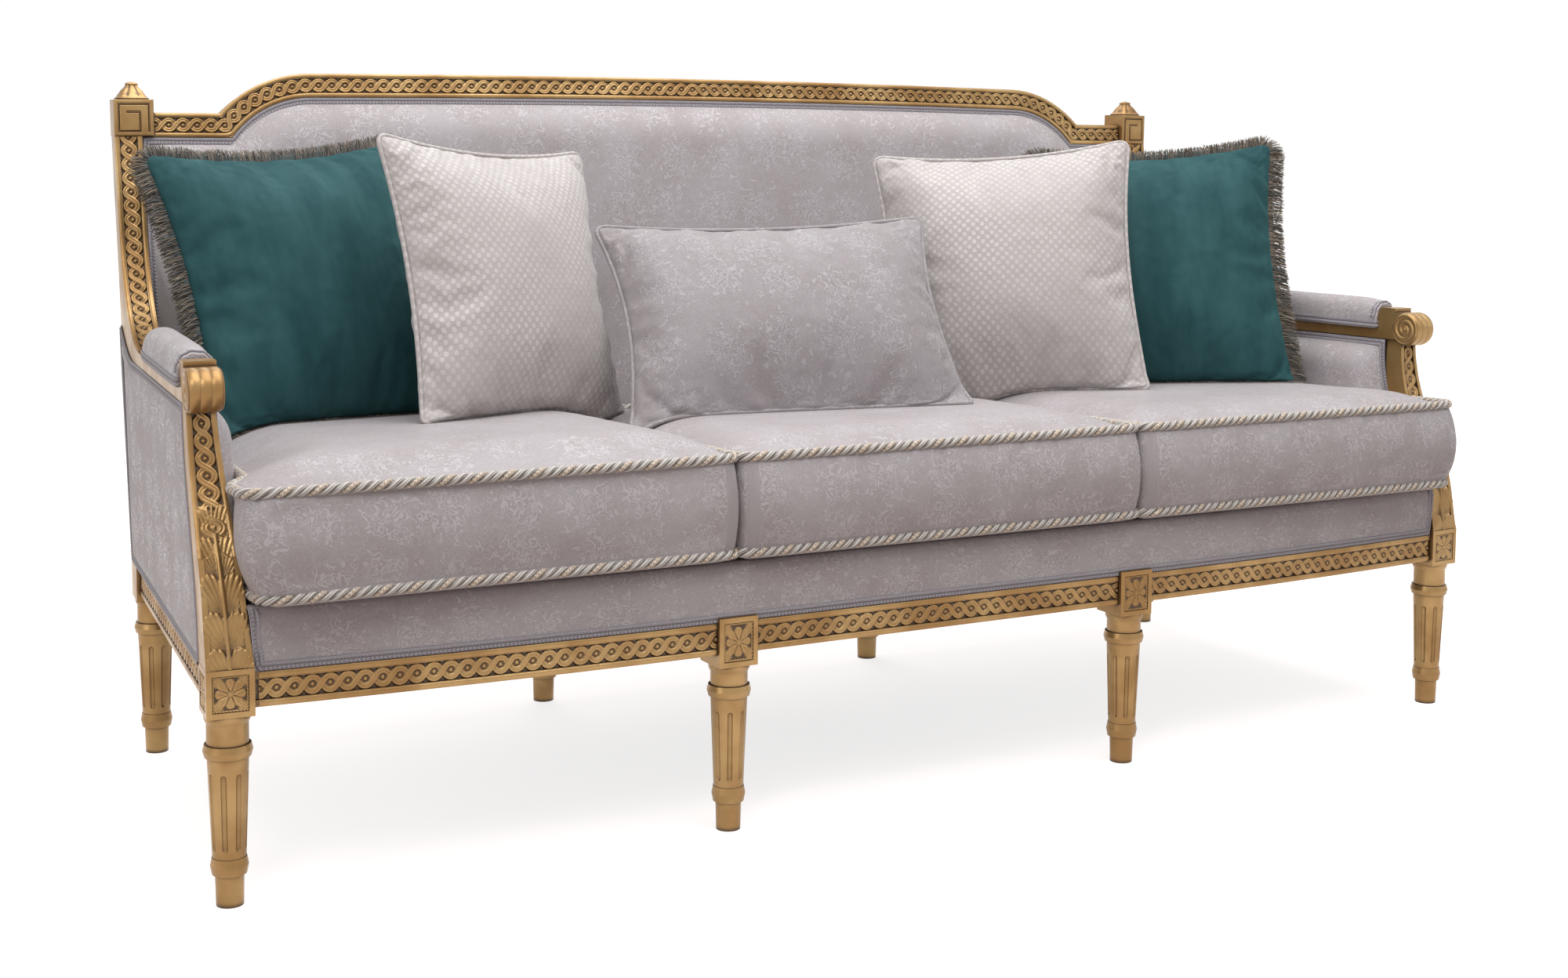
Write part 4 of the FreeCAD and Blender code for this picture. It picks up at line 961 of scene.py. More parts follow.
@dataclass
class CarvedFrame:
    """The show-wood: carved bands, rosettes, acanthus, scrolls and finials."""

    plan: FramePlan
    finishes: Finishes
    carving: ScrollCarving = field(default_factory=ScrollCarving)
    leaf_top: float = 0.446
    tiers: tuple[tuple[float, float], ...] = (
        (-0.035, 0.066), (0.006, 0.068), (0.052, 0.066), (0.097, 0.062), (0.137, 0.056))
    lobes: float = 5.2
    spread: float = 1.35
    rib: float = 0.0026
    carving_seat: float = 0.0002
    block_gap: float = 0.001
    sweep_steps: int = 40
    scroll_reach: float = 0.062
    scroll_height: float = 0.6227
    scroll_radius: float = 0.0263
    key_height: float = 0.055
    key_line: float = 0.0017
    key_slope: float = 0.0009
    key_turn: float = 0.42

    def build(self) -> None:
        """Builds every piece of carving."""
        self.crest()
        self.front_rails()
        for side in BOTH:
            self.side_rail(side)
            self.stile(side)
            self.post(side)
            self.scroll(side)
            self.key_face(side)
            self.finial(side)
        self.rosettes()

    def band(self, name: str, draft: MeshDraft, nodes: tuple[str, ...] = ()) -> None:
        """Finishes one piece of gilt carving."""
        Piece.settle(draft.build(name, self.finishes.gilt), "gilt_wood", stands_for=nodes)

    def carve(self, name: str, line: Points, sides: tuple[Side, ...], *shape: object,
              **fixed: object) -> None:
        """Lays the carving along one line at each of the sides, as one piece."""
        draft = MeshDraft()
        for side in sides:
            self.carving.lay(draft, line, shape[0], side, *shape[1:], **fixed)
        self.band(name, draft)

    def crest(self) -> None:
        """Carves the crest rail, mirrored at its middle."""
        plan = self.plan
        line = plan.crest_line(plan.crest_height / 2, plan.key_x - plan.key_width / 2 - 0.001)
        line[:, 1] = plan.crest_setback - self.carving_seat
        self.carve("crest_carving", line, BOTH, plan.from_back, plan.crest_height / 2,
                   plan.crest_fillet, normal=(0, -1, 0))

    def front_rails(self) -> None:
        """Carves the three front rails, mirrored at the middle of the seat."""
        plan = self.plan
        gap = plan.half_block + self.block_gap
        outer = (plan.front_mid_x + gap, plan.front_corner_x - gap - 0.002)
        for word, sides, ends in (("center", BOTH, (0.0, plan.front_mid_x - gap)),
                                  ("left", (Side.LEFT,), outer), ("right", (Side.RIGHT,), outer)):
            x = np.linspace(*ends, 80)
            line = xyz(x, plan.front_line(x, plan.rail_setback) - self.carving_seat,
                       plan.rail_middle)
            self.carve(f"front_rail_carving_{word}", line, sides, plan.room, plan.rail_height / 2,
                       plan.rail_fillet, across=(0, 0, -1))

    def side_rail(self, side: Side) -> None:
        """Carves the outside of a side rail."""
        plan = self.plan
        gap = plan.half_block + self.block_gap
        line = xyz(plan.half_block - plan.rail_setback + self.carving_seat,
                   np.linspace(gap, plan.side_length - gap, 4), plan.rail_middle)
        self.carve(f"side_rail_carving_{side.word}", line, (side,), plan.from_level_side,
                   plan.rail_height / 2, plan.rail_fillet, across=(0, 0, -1))

    def stile(self, side: Side) -> None:
        """Carves the front of a back post, from the arm to the key block."""
        plan = self.plan
        run = plan.sweep_radius / math.tan((math.pi / 2 + plan.rake) / 2)
        turn = np.linspace(0.12, math.pi / 2 - plan.rake, self.sweep_steps)
        radius = plan.sweep_radius + self.carving_seat
        s = plan.stile_line(plan.arm_top) - run + radius * np.sin(turn)
        z = plan.arm_top + plan.sweep_radius - radius * np.cos(turn)
        line = xyz(plan.stick_middle,
                   np.append(s, plan.stile_line(plan.back_pivot) - self.carving_seat),
                   np.append(z, plan.back_pivot - 0.001))
        self.carve(f"back_post_carving_{side.word}", line, (side,), plan.from_side,
                   plan.stick_width / 2, plan.stick_fillet, across=(1, 0, 0))

    def post_half(self, middle: Points) -> Points:
        """Half width of the arm post's front at each point."""
        return self.plan.post_width(middle[:, 2]) / 2

    def acanthus(self, height: Points, middle: Points, across: Points) -> Points:
        """Lays the leaf over the foot of a post's carving.

        Args:
            height: Heights of the carving so far.
            middle: Middle of the band at each row.
            across: Places across as shares of the half width.

        Returns:
            The heights with the leaf.
        """
        foot, depth = self.plan.block_top, self.carving.depth
        up = np.broadcast_to((middle[:, 2] - foot)[:, None], across.shape)
        out = np.abs(across) * self.post_half(middle)[:, None]
        leaf = np.full(up.shape, -0.01)
        for base, size in self.tiers:
            rise = up - base
            far = np.hypot(self.spread * out, rise) / size
            turn = np.arctan2(self.spread * out, rise) - 0.12 * unit(far) ** 2
            lobe = np.abs(np.sin(self.lobes * turn)) ** 0.5
            finger = np.abs(np.sin(4 * self.lobes * turn)) ** 0.7
            share = far / (0.74 + 0.22 * lobe + 0.04 * finger)
            tip = share ** 2 * dome(share, 12)
            level = -depth + 0.0046 * tip * (0.7 + 0.3 * lobe) + \
                0.0013 * finger * (0.4 + 0.6 * share)
            leaf = np.maximum(leaf, np.where((share < 1) & (rise > 0), level, -0.01))
        tall = self.leaf_top - foot
        rib = -0.0006 + self.rib * dome(out / self.rib)
        leaf = np.where((out < self.rib) & (up < 1.04 * tall), np.maximum(leaf, rib), leaf)
        ground = np.where(up < 0.86 * tall, -depth, height)
        return np.maximum(ground, leaf)

    def post(self, side: Side) -> None:
        """Carves the front of an arm post: scroll above, acanthus leaf below."""
        plan = self.plan
        z = np.linspace(plan.block_top + 0.0005, self.scroll_height - 0.02, 120)
        s = plan.post_front(np.minimum(z, plan.post_head_top)) - self.carving_seat
        line = xyz(plan.stick_outer - plan.post_width(z) / 2, s, z)
        self.carve(f"arm_post_carving_{side.word}", line, (side,), plan.from_side, self.post_half,
                   plan.stick_fillet, across=(1, 0, 0), cover=self.acanthus)

    def scroll(self, side: Side) -> None:
        """Rolls the arm's front end: three reeds round it and a spiral on each side."""
        plan = self.plan
        draft = MeshDraft()
        across = np.linspace(-1, 1, 49)
        turn = np.linspace(-1.2, math.pi + 1.35, 90)[:, None]
        reed = np.abs(np.cos(1.5 * math.pi * across)) ** 0.6 * 0.0016 + 0.0002
        reed = reed * dome(across, 8) - 0.001 * (np.abs(across) > 0.985)
        radius = self.scroll_radius + reed
        points = xyz(plan.stick_middle + across * plan.stick_width / 2,
                     self.scroll_reach - radius * np.sin(turn),
                     self.scroll_height + radius * np.cos(turn))
        hollow = np.broadcast_to(unit(1 - reed / 0.0012) * 0.8, points.shape[:2])
        draft.grid(plan.from_side(points, side), hollow=hollow, flip=side is Side.RIGHT)
        around = np.append(np.linspace(0, math.tau, 97)[:-1], 0.0)[:, None]
        reach = np.linspace(0.0001, 1, 34)
        far = reach * self.scroll_radius
        ridge = np.abs(np.cos(math.pi * (far / 0.0098 - around / math.tau))) ** 0.7
        rise = np.maximum(0.0022 * ridge, 0.0032 * dome(far / 0.0045)) * \
            np.sqrt(unit((1 - reach) / 0.06)) + 0.0001
        for face, way in ((plan.stick_outer, 1), (plan.stick_inner, -1)):
            points = xyz(face + way * rise, self.scroll_reach - way * far * np.cos(around),
                         self.scroll_height + far * np.sin(around))
            draft.grid(plan.from_side(points, side), hollow=unit(1 - rise / 0.0019),
                       flip=side is Side.LEFT)
        self.band(f"arm_scroll_{side.word}", draft)

    def key_face(self, side: Side) -> None:
        """Cuts the square key into the face of a key block."""
        plan = self.plan
        u = np.linspace(-1, 1, 121) * plan.key_width / 2
        v = np.linspace(-1, 1, 115) * self.key_height / 2
        uu, vv = np.meshgrid(u, v, indexing="xy")
        reach = plan.key_width / 2 - plan.panel_border
        tall = self.key_height / 2 - plan.panel_border
        share = self.key_turn
        strokes = ((-reach, -tall, -reach, tall), (-reach, tall, reach, tall),
                   (reach, -tall, reach, tall), (-reach * share, -tall, reach, -tall),
                   (-reach * share, -tall, -reach * share, tall * share),
                   (-reach * share, tall * share, reach * share, tall * share))
        near = np.minimum.reduce([np.maximum.reduce([x0 - uu, uu - x1, z0 - vv, vv - z1])
                                  for x0, z0, x1, z1 in strokes])
        groove = unit((self.key_line - near) / self.key_slope)
        edge = np.minimum(plan.key_width / 2 - np.abs(uu), self.key_height / 2 - np.abs(vv))
        rise = 0.0015 - 0.0021 * groove - 0.0022 * (1 - unit(edge / 0.0012)) ** 2
        points = xyz(plan.stick_outer - plan.key_width / 2 + uu,
                     plan.stile_line(plan.back_pivot) - rise,
                     plan.back_pivot + self.key_height / 2 + vv)
        draft = MeshDraft()
        # The grooves are marked past full depth, so the gilding paints them fully dark: painted
        # shade as well as dirt.
        draft.grid(plan.from_side(points, side), hollow=1.3 * groove, flip=side is Side.RIGHT)
        self.band(f"key_block_face_{side.word}", draft)

    def finial(self, side: Side) -> None:
        """Cuts the finial as a low pyramid of leaves."""
        low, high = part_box(f"finial_{side.word}")
        middle = (low + high) / 2
        half = (high.x - low.x) / 2 / (1 + 0.08)
        up = np.linspace(0, 1, 60)[:, None]
        shares = ((0.0, 1.0), (0.1, 1.02), (0.14, 0.93), (0.3, 0.84), (0.6, 0.56), (0.82, 0.36),
                  (0.86, 0.4), (0.93, 0.34), (1.0, 0.04))
        profile = np.interp(up, [a for a, _ in shares], [b for _, b in shares])
        around = np.linspace(0, math.tau, 129)[:-1]
        cosine, sine = np.cos(around), np.sin(around)
        square = 1 / (np.abs(cosine) ** 7 + np.abs(sine) ** 7) ** (1 / 7)
        leaf = np.abs(np.cos(4 * around)) ** 0.5
        tier = 0.5 + 0.5 * np.cos(math.tau * (up * 2.6 - 0.35)) * leaf
        cut = unit((up - 0.14) / 0.1) * unit((0.84 - up) / 0.06) * \
            (0.0016 * (1 - leaf) + 0.0009 * (1 - tier))
        rows = profile * half * (square * 0.62 + 0.38) - cut
        x, y = rows * cosine, rows * sine * 0.9
        c, n = math.cos(self.plan.side_angle), math.sin(self.plan.side_angle) * side.value
        points = xyz(middle.x + x * c - y * n, middle.y + x * n + y * c,
                     low.z + up * (high.z - low.z))
        draft = MeshDraft()
        draft.grid(points, hollow=unit(cut / 0.0018), ring=True)
        self.band(f"finial_leaves_{side.word}", draft, (f"finial_{side.word}",))

    @staticmethod
    def rosette(u: Points, v: Points, tall: float) -> Points:
        """Heights of a rosette on its square.

        Args:
            u: Places across, -1 to 1.
            v: Places up, -1 to 1.
            tall: Height of the panel over its width.

        Returns:
            Heights in metres above the panel's ground.
        """
        vv = v * tall
        r = np.hypot(u, vv)
        turn = np.arctan2(vv, u)
        reach = 1 / np.maximum(np.abs(np.cos(turn)), np.abs(np.sin(turn)) / tall)
        r = r / (0.55 + 0.45 * reach)
        petal = np.abs(np.cos(4 * turn)) ** 0.5
        vein = np.exp(-(np.sin(4 * turn) / 0.18) ** 2) * unit((r - 0.25) / 0.2)
        flower = dome(r / (0.6 + 0.26 * petal), 8) * (0.0003 + 0.0021 * petal - 0.0008 * vein)
        button = 0.0027 * dome(r / 0.17)
        off = np.abs(np.abs(turn) % (math.pi / 2) - math.pi / 4)
        fan = dome(off / 0.33) * unit((r - 0.72) / 0.1)
        leaf = 0.0018 * fan * (0.75 + 0.25 * np.cos(off * 38))
        edge = np.maximum(np.abs(u), np.abs(v))
        along = np.where(np.abs(u) > np.abs(v), v, u)
        bead = 0.0018 * dome((edge - 0.94) / 0.06) * (0.4 + 0.6 * np.abs(np.cos(along * 17)))
        return np.maximum.reduce([flower, button, leaf * (edge < 0.9), bead])

    def rosettes(self) -> None:
        """Carves the panels of the leg blocks."""
        plan = self.plan
        inner = plan.half_block - plan.panel_border
        grid = np.linspace(-1, 1, 85)
        u, v = np.meshgrid(grid, grid, indexing="xy")
        for side in BOTH:
            draft = MeshDraft()
            for bottom, kind in ((plan.block_bottom, "front"), (plan.block_bottom, "side"),
                                 (plan.mid_block_bottom, "middle")):
                half_z = (plan.block_top - bottom) / 2 - plan.panel_border
                rise = self.rosette(u, v, half_z / inner)
                out = -(plan.half_block - 0.0019 + rise)
                z = (plan.block_top + bottom) / 2 + v * half_z
                if kind == "middle":
                    x = plan.front_mid_x + u * inner
                    points = plan.room(xyz(x, plan.mid_leg_y + out, z), side)
                else:
                    t, s = (u * inner, out) if kind == "front" else (-out, u * inner)
                    points = plan.from_level_side(xyz(t, s, z), side)
                draft.grid(points, hollow=unit(1 - rise / 0.0017), flip=side is Side.RIGHT)
            self.band(f"block_rosettes_{side.word}", draft)


@dataclass
class GimpBraid:
    """Braided gimp glued along the edges of the covers."""

    width: float = 0.012
    thickness: float = 0.0024
    cord_pitch: float = 0.0043
    step: float = 0.00086
    columns: int = 13

    def lay(self, draft: MeshDraft, line: Points, place: Callable, side: Side,
            across: tuple | None = None, normal: tuple | None = None, over: bool = False) -> None:
        """Lays the braid along a line.

        Args:
            draft: Where the faces go.
            line: Middle of the braid.
            place: Function from the piece's own axes to the room.
            side: End of the sofa.
            across: Fixed direction across, if the normal turns.
            normal: Fixed direction outwards, if the braid turns in its plane.
            over: Whether the braid crosses the arm, which turns its faces over.
        """
        path = Path(line)
        distance = np.linspace(0, path.length, max(2, int(path.length / self.step)))
        sideways, out = path.sides(distance, across, normal)
        q = np.linspace(-1, 1, self.columns)
        turns = distance[:, None] / self.cord_pitch
        twist = np.abs(np.cos(math.pi * (turns + 0.9 * q)))
        loops = np.abs(np.cos(math.pi * (turns * 0.8 + 0.25 * np.cos(math.tau * q))))
        height = self.thickness * (0.3 + dome((q + 0.52) / 0.46) * (0.35 + 0.35 * twist) +
                                   dome((q - 0.5) / 0.5) * (0.15 + 0.5 * loops ** 1.5))
        height[:, [0, -1]] = -0.0006
        where = q[:, None] * self.width / 2
        points = path.at(distance)[:, None] + sideways[:, None] * where + \
            out[:, None] * height[..., None]
        # The hollow mark is deepest between the cords, where the gimp material paints shade.
        hollow = unit(1.15 - height / (self.thickness * 0.8))
        draft.grid(place(points, side), hollow=hollow, flip=(side is Side.LEFT) != over)


@dataclass
class FrameUpholstery:
    """Padded back, arms and apron, with their gimp."""

    plan: FramePlan
    finishes: Finishes
    gimp: GimpBraid = field(default_factory=GimpBraid)
    back_bulge: float = 0.029
    back_edge: float = 0.0064
    back_foot: float = 0.372
    side_thickness: float = 0.027
    side_pad_top: float = 0.602
    panel_rise: float = 0.042
    panel_fold: float = 0.007
    arm_front: float = 0.1205
    arm_rear: float = 0.49
    arm_width: float = 0.05
    arm_height: float = 0.047
    deck_front_top: float = 0.3685
    deck_setback: float = 0.008
    deck_rounding: float = 0.012
    pad_inset: float = 0.0095
    pad_power: float = 2.6
    back_reach: float = 0.078
    cover_back: float = 0.0475
    cover_bulge: float = 0.0022
    panel_bulge: float = 0.0028
    cover_power: float = 2.0
    cover_reach: float = 0.05
    seat_slope: float = math.radians(2)

    def build(self) -> None:
        """Builds the covers of the frame."""
        self.back()
        self.back_cover()
        self.apron()
        for side in BOTH:
            self.side_pad(side)
            self.side_panel(side)
            self.arm_pad(side)

    def soft(self, name: str, node: str, fill: float, points: Points, place: Points,
             flip: bool = False) -> None:
        """Builds one padded cover of damask.

        Args:
            name: Its name.
            node: The CAD node that it replaces.
            fill: How full it is; not used.
            points: Its grid in the room.
            place: Coordinates on the cloth.
            flip: Turns the faces over.
        """
        draft = MeshDraft()
        draft.grid(points, place=place, flip=flip)
        thing = draft.build(name, self.finishes.cloth[Cloth.DAMASK])
        Piece.settle(thing, "damask", stands_for=(node,), fill=fill)

    def edge(self, name: str, sides: tuple[Side, ...], *runs: tuple[Points, Callable, dict],
             nodes: tuple[str, ...] = ()) -> None:
        """Lays gimp along lines at each of the sides, as one piece.

        Args:
            name: Its name.
            sides: Ends of the sofa.
            *runs: A line, the function from its axes to the room and how the gimp lies.
            nodes: CAD nodes that it replaces.
        """
        draft = MeshDraft()
        for side in sides:
            for line, place, lie in runs:
                self.gimp.lay(draft, line, place, side, **lie)
        thing = draft.build(name, self.finishes.cloth[Cloth.GIMP])
        Piece.settle(thing, "gimp", stands_for=nodes)

    def stretched(self, *gaps: Points) -> Points:
        """Share of its fullness that a flat cover has, at the distances from its edges."""
        return filled(self.cover_power, *(gap / self.cover_reach for gap in gaps))

    @property
    def back_half(self) -> float:
        """Half width of the back between its posts."""
        return self.plan.key_x + self.plan.key_width / 2 - self.plan.stick_width

    def raked(self, height: float) -> float:
        """Height measured along the rake for a height above the floor."""
        return self.plan.back_pivot + (height - self.plan.back_pivot) / math.cos(self.plan.rake)

    def back_field(self, foot: float, columns: int, share: Points) -> tuple[Points, Points, Points]:
        """Places over the back, below the crest.

        Args:
            foot: Height of the lower edge.
            columns: How many columns.
            share: Shares of the height, one for each row.

        Returns:
            X of the columns, heights row by column, and the top of each column.
        """
        half = self.back_half
        x = np.linspace(-half + 0.0006, half - 0.0006, columns)
        line = self.plan.crest_line(self.plan.crest_height + 0.0004, half + 0.01)
        top = np.interp(np.abs(x), line[:, 0], line[:, 2])
        return x, foot + share[:, None] * (top - foot), top

    def back_edge_line(self, y: float, *ends: tuple[float, float]) -> Points:
        """Line along the crest and down to the given ends, X and height, at the distance back."""
        inset = self.gimp.width / 2
        line = self.plan.crest_line(self.plan.crest_height + inset, self.back_half - inset)
        line = np.concatenate([line, [[x, 0, z] for x, z in ends]])
        line[:, 1] = y
        return line

    def back(self) -> None:
        """Builds the padded back and the gimp round it."""
        plan, half, inset = self.plan, self.back_half, self.pad_inset
        share = 1 - (1 - np.linspace(0, 1, 120)) ** 1.6
        x, z, top = self.back_field(self.raked(self.back_foot), 301, share)
        up_gap = (top - z - inset) / np.sqrt(1 + np.gradient(top, x) ** 2)
        side_gap = half - np.abs(x) - inset
        full = filled(self.pad_power, up_gap / self.back_reach, side_gap / self.back_reach)
        ripple = 0.0007 * np.sin(x * 61 + 2.1 * np.sin(z * 9)) * np.exp(-unit(up_gap) / 0.06)
        y = self.back_edge - self.back_bulge * full - ripple * full
        self.soft("back_pad_cover", "back_pad", 0.7, plan.from_back(xyz(x, y, z)), xyz(x, z, y))
        line = self.back_edge_line(self.back_edge - 0.0002,
                                   (half - self.gimp.width / 2, self.raked(0.5)))
        self.edge("back_pad_gimp", BOTH, (line, plan.from_back, {"normal": (0, -1, 0)}),
                  nodes=("back_gimp",))

    def back_cover(self) -> None:
        """Builds the cloth over the outside of the back, with gimp round it."""
        plan, half, foot = self.plan, self.back_half, self.raked(self.plan.block_top + 0.004)
        x, z, top = self.back_field(foot, 201, np.linspace(0, 1, 90))
        y = self.cover_back + self.cover_bulge * self.stretched(top - z, half - np.abs(x), z - foot)
        self.soft("back_cover", "back_cover_outer", 0.2, plan.from_back(xyz(x, y, z)),
                  xyz(x, z, y), True)
        inset = self.gimp.width / 2
        line = self.back_edge_line(self.cover_back + 0.0001, (half - inset, foot + inset),
                                   (0, foot + inset))
        self.edge("back_cover_gimp", BOTH, (line, plan.from_back, {"normal": (0, 1, 0)}))

    def side_pad(self, side: Side) -> None:
        """Builds the padded inside of an arm, with gimp along its front and top."""
        plan, inset = self.plan, self.pad_inset
        low, high = plan.rail_top + 0.005, self.side_pad_top
        z = (low + (high - low) * (1 - (1 - np.linspace(0, 1, 90)) ** 1.5))[:, None]
        front = plan.post_rear(z) + 0.0008
        rear = float(plan.stile_line(high))
        s = front + (rear - front) * (0.5 - 0.5 * np.cos(math.pi * np.linspace(0, 1, 140)))
        full = filled(self.pad_power, (high - z - inset) / 0.054, (s - front - inset) / 0.06)
        t = plan.stick_inner - self.side_thickness * full
        self.soft(f"side_pad_cover_{side.word}", f"side_pad_inner_{side.word}", 0.6,
                  plan.from_side(xyz(t, s, z), side), xyz(s, z, t), side is Side.RIGHT)
        up = np.linspace(0.36, high - 0.006, 60)
        line = xyz(plan.stick_inner - 0.0002, np.append(plan.post_rear(up) + 0.006, rear - 0.08),
                   np.append(up, high - 0.006))
        self.edge(f"side_pad_gimp_{side.word}", (side,),
                  (line, plan.from_side, {"normal": (-1, 0, 0)}))

    @property
    def panel_low(self) -> float:
        """Height of the lower edge of an arm's outer panel."""
        return self.plan.rail_top + 0.0008

    @property
    def panel_high(self) -> float:
        """Height of the upper edge of an arm's outer panel, before it sweeps up."""
        return self.plan.arm_top - self.plan.arm_height - 0.0005

    def panel_ends(self, up: Points) -> tuple[Points, Points]:
        """Distance back of the outer panel's front and rear edge at the heights."""
        low, high = self.panel_low, self.panel_high
        rear_low = self.plan.side_length + self.plan.half_block - 0.002
        return (self.plan.post_rear(np.minimum(up, high)) + 0.0005,
                rear_low + (self.panel_rear - rear_low) * (up - low) / (high - low))

    @property
    def panel_rear(self) -> float:
        """Distance back of the outer panel's rear edge under the arm."""
        return float(self.plan.stile_line(self.plan.arm_top)) + self.plan.stile_depth - 0.002

    def panel_top(self, back: Points) -> Points:
        """Height of the outer panel's top edge, which sweeps up at the back."""
        return self.panel_high + self.panel_rise * unit((back - 0.6) / (self.panel_rear - 0.6)) ** 2

    def panel_proud(self, back: Points, up: Points) -> Points:
        """How far the outer panel stands out, where it passes over the arm's sweep."""
        return 0.0022 * unit((up - self.panel_high + 0.012) / 0.012) * unit((back - 0.56) / 0.06)

    def side_panel(self, side: Side) -> None:
        """Builds the cloth on the outside of an arm, with gimp all round."""
        plan, low, high = self.plan, self.panel_low, self.panel_high
        share, along = np.linspace(0, 1, 90)[:, None], np.linspace(0, 1, 150)
        z = low + (high - low) * share + 0 * along
        for _ in range(4):
            front, rear = self.panel_ends(z)
            s = front + (rear - front) * along
            z = low + (self.panel_top(s) - low) * share
        full = self.stretched(self.panel_top(s) - z, z - low, s - front, rear - s)
        t = plan.stick_outer - 0.001 + self.panel_proud(s, z) + self.panel_bulge * full
        t, s, z = (np.concatenate([w, w[:, -1:] - by], 1)
                   for w, by in ((t, self.panel_fold), (s, 0), (z, 0)))
        self.soft(f"side_panel_cover_{side.word}", f"side_panel_outer_{side.word}", 0.2,
                  plan.from_side(xyz(t, s, z), side), xyz(s, z, t), side is Side.LEFT)
        half, out = self.gimp.width / 2, plan.stick_outer - 0.0008
        up = np.linspace(low + half, high - half, 60)
        front_run = xyz(out, plan.post_rear(up) + half, up)
        rear = self.panel_ends(high + self.panel_rise)[1]
        back = np.linspace(front_run[-1, 1] + 0.01, rear - half, 50)
        top = self.panel_top(back)
        upper = xyz(out + self.panel_proud(back, top), back, top - half)
        foot = [[out, self.panel_ends(low)[1] - half, low + half]]
        line = np.concatenate([front_run, upper, foot, front_run[:1]])
        self.edge(f"side_panel_gimp_{side.word}", (side,),
                  (line, plan.from_side, {"normal": (1, 0, 0)}))

    def arm_pad(self, side: Side) -> None:
        """Builds the padded top of an arm, with gimp round its foot and over its front."""
        plan = self.plan
        share = 0.5 - 0.5 * np.cos(math.pi * np.linspace(0, 1, 120))
        s = self.arm_front + share * (self.arm_rear - self.arm_front)
        near = unit((s - self.arm_front) / 0.06)
        far = unit((self.arm_rear - s) / 0.11)
        blunt = np.sqrt(1 - (1 - near) ** 2)
        wide = (0.95 + 0.05 * blunt) * (0.72 + 0.28 * np.sqrt(1 - (1 - far) ** 3))
        high = (0.79 + 0.21 * blunt) * (0.5 + 0.5 * np.sqrt(1 - (1 - far) ** 2.3))
        closing = np.array([0.02, 0.4, 0.7, 0.88, 0.97])
        bulb = 0.006 * np.sqrt(1 - closing ** 2)
        s = np.concatenate([s[:1] + 0 * bulb, s, s[-1] + bulb[::-1]])
        wide, high = (np.concatenate([closing * w[0], w, closing[::-1] * w[-1]])
                      for w in (wide, high))
        near = np.concatenate([0 * bulb, near, 1 + 0 * bulb])
        angle = np.linspace(-0.12, math.pi + 0.12, 61)
        cosine, sine = np.cos(angle), np.sin(angle)
        lift = np.sign(sine) * np.abs(sine) ** 0.8
        across = np.sign(cosine) * np.abs(cosine) ** 0.82
        fold = 1 + 0.016 * np.cos(angle * 13) * np.exp(-near * 3.4)[:, None]
        t = plan.stick_middle + self.arm_width / 2 * wide[:, None] * across * fold
        z = plan.arm_top + 0.001 + self.arm_height * high[:, None] * (0.1 + 0.9 * lift) * fold
        points = xyz(t, s[:, None], z)
        self.soft(f"arm_pad_cover_{side.word}", f"arm_pad_{side.word}", 0.8,
                  plan.from_side(points, side), xyz(s[:, None], angle * 0.03, z),
                  side is Side.RIGHT)
        ends = len(closing)
        rows = np.linspace(ends, len(s) - ends - 1, 80).astype(int)
        half = self.arm_width / 2 * wide[rows] + 0.0002
        outer, inner = (xyz(plan.stick_middle + way * half, s[rows], plan.arm_top + 0.0055)
                        for way in (1, -1))
        over = points[ends + 8, 6:-6] + (0, 0.0045, 0.0006)
        self.edge(f"arm_pad_gimp_{side.word}", (side,),
                  (np.concatenate([outer[::-1], inner]), plan.from_side, {"across": (0, 0, 1)}),
                  (over, plan.from_side, {"across": (0, 1, 0), "over": True}))

    def apron_end(self, height: Points | float) -> Points | float:
        """Half width of the apron at the height, against the arm post."""
        plan = self.plan
        width = plan.post_width(np.clip(height, plan.block_top, plan.post_head_top))
        return plan.front_corner_x + plan.stick_outer - width + 0.0015 + \
            0.014 * np.maximum(height - plan.block_top, 0)

    def apron(self) -> None:
        """Builds the deck with its front apron, and the gimp along and beside it."""
        plan, top, rounding = self.plan, self.deck_front_top, self.deck_rounding
        reach = plan.front_corner_x + plan.stick_outer - plan.post_foot - 0.0005
        x = np.linspace(-reach, reach, 401)
        front = plan.front_line(x, self.deck_setback)
        profile = [(0.0018 * math.sin(math.pi * (h - plan.rail_top) / 0.08), h)
                   for h in np.linspace(plan.rail_top, top - rounding, 16)]
        profile += [(-rounding * (1 - math.cos(a)), top - rounding + rounding * math.sin(a))
                    for a in np.linspace(0, math.pi / 2, 9)[1:]]
        rows = [xyz(x / reach * self.apron_end(h), front - out, h) for out, h in profile]
        rear = plan.back_front_y + (plan.rail_top - plan.back_pivot) * math.tan(plan.rake) - 0.029
        neck = -plan.side_depth + 2 * plan.half_block
        for step in np.linspace(0, 1, 60)[1:]:
            y = (front + rounding) * (1 - step) + rear * step
            limit = np.where(y < neck, reach, plan.seat_side(y) - 0.0025)
            rows.append(xyz(x / reach * limit, y, top - (y - front) * math.tan(self.seat_slope)))
        points = np.stack(rows)
        down = Path(points[:, 200]).run
        self.soft("seat_deck_cover", "seat_deck", 0.6, plan.room(points),
                  xyz(x, down[:, None], points[..., 2]))
        half = self.gimp.width / 2
        run = np.linspace(0, reach - half, 120)
        low = plan.rail_top + half + 0.0005
        line = xyz(run, plan.front_line(run, self.deck_setback) - 0.0006, low)
        ups = np.linspace(low + 0.004, top - 0.003, 24)
        over = np.clip(ups - top + rounding, 0, None)
        inward = line[-1, 1] + rounding - np.sqrt(rounding ** 2 - over ** 2)
        rise = xyz(self.apron_end(ups) - half - 0.001, inward, ups)
        self.edge("apron_braid", BOTH,
                  (np.concatenate([line, rise]), plan.room, {"normal": (0, -1, 0)}),
                  nodes=("apron_gimp",))


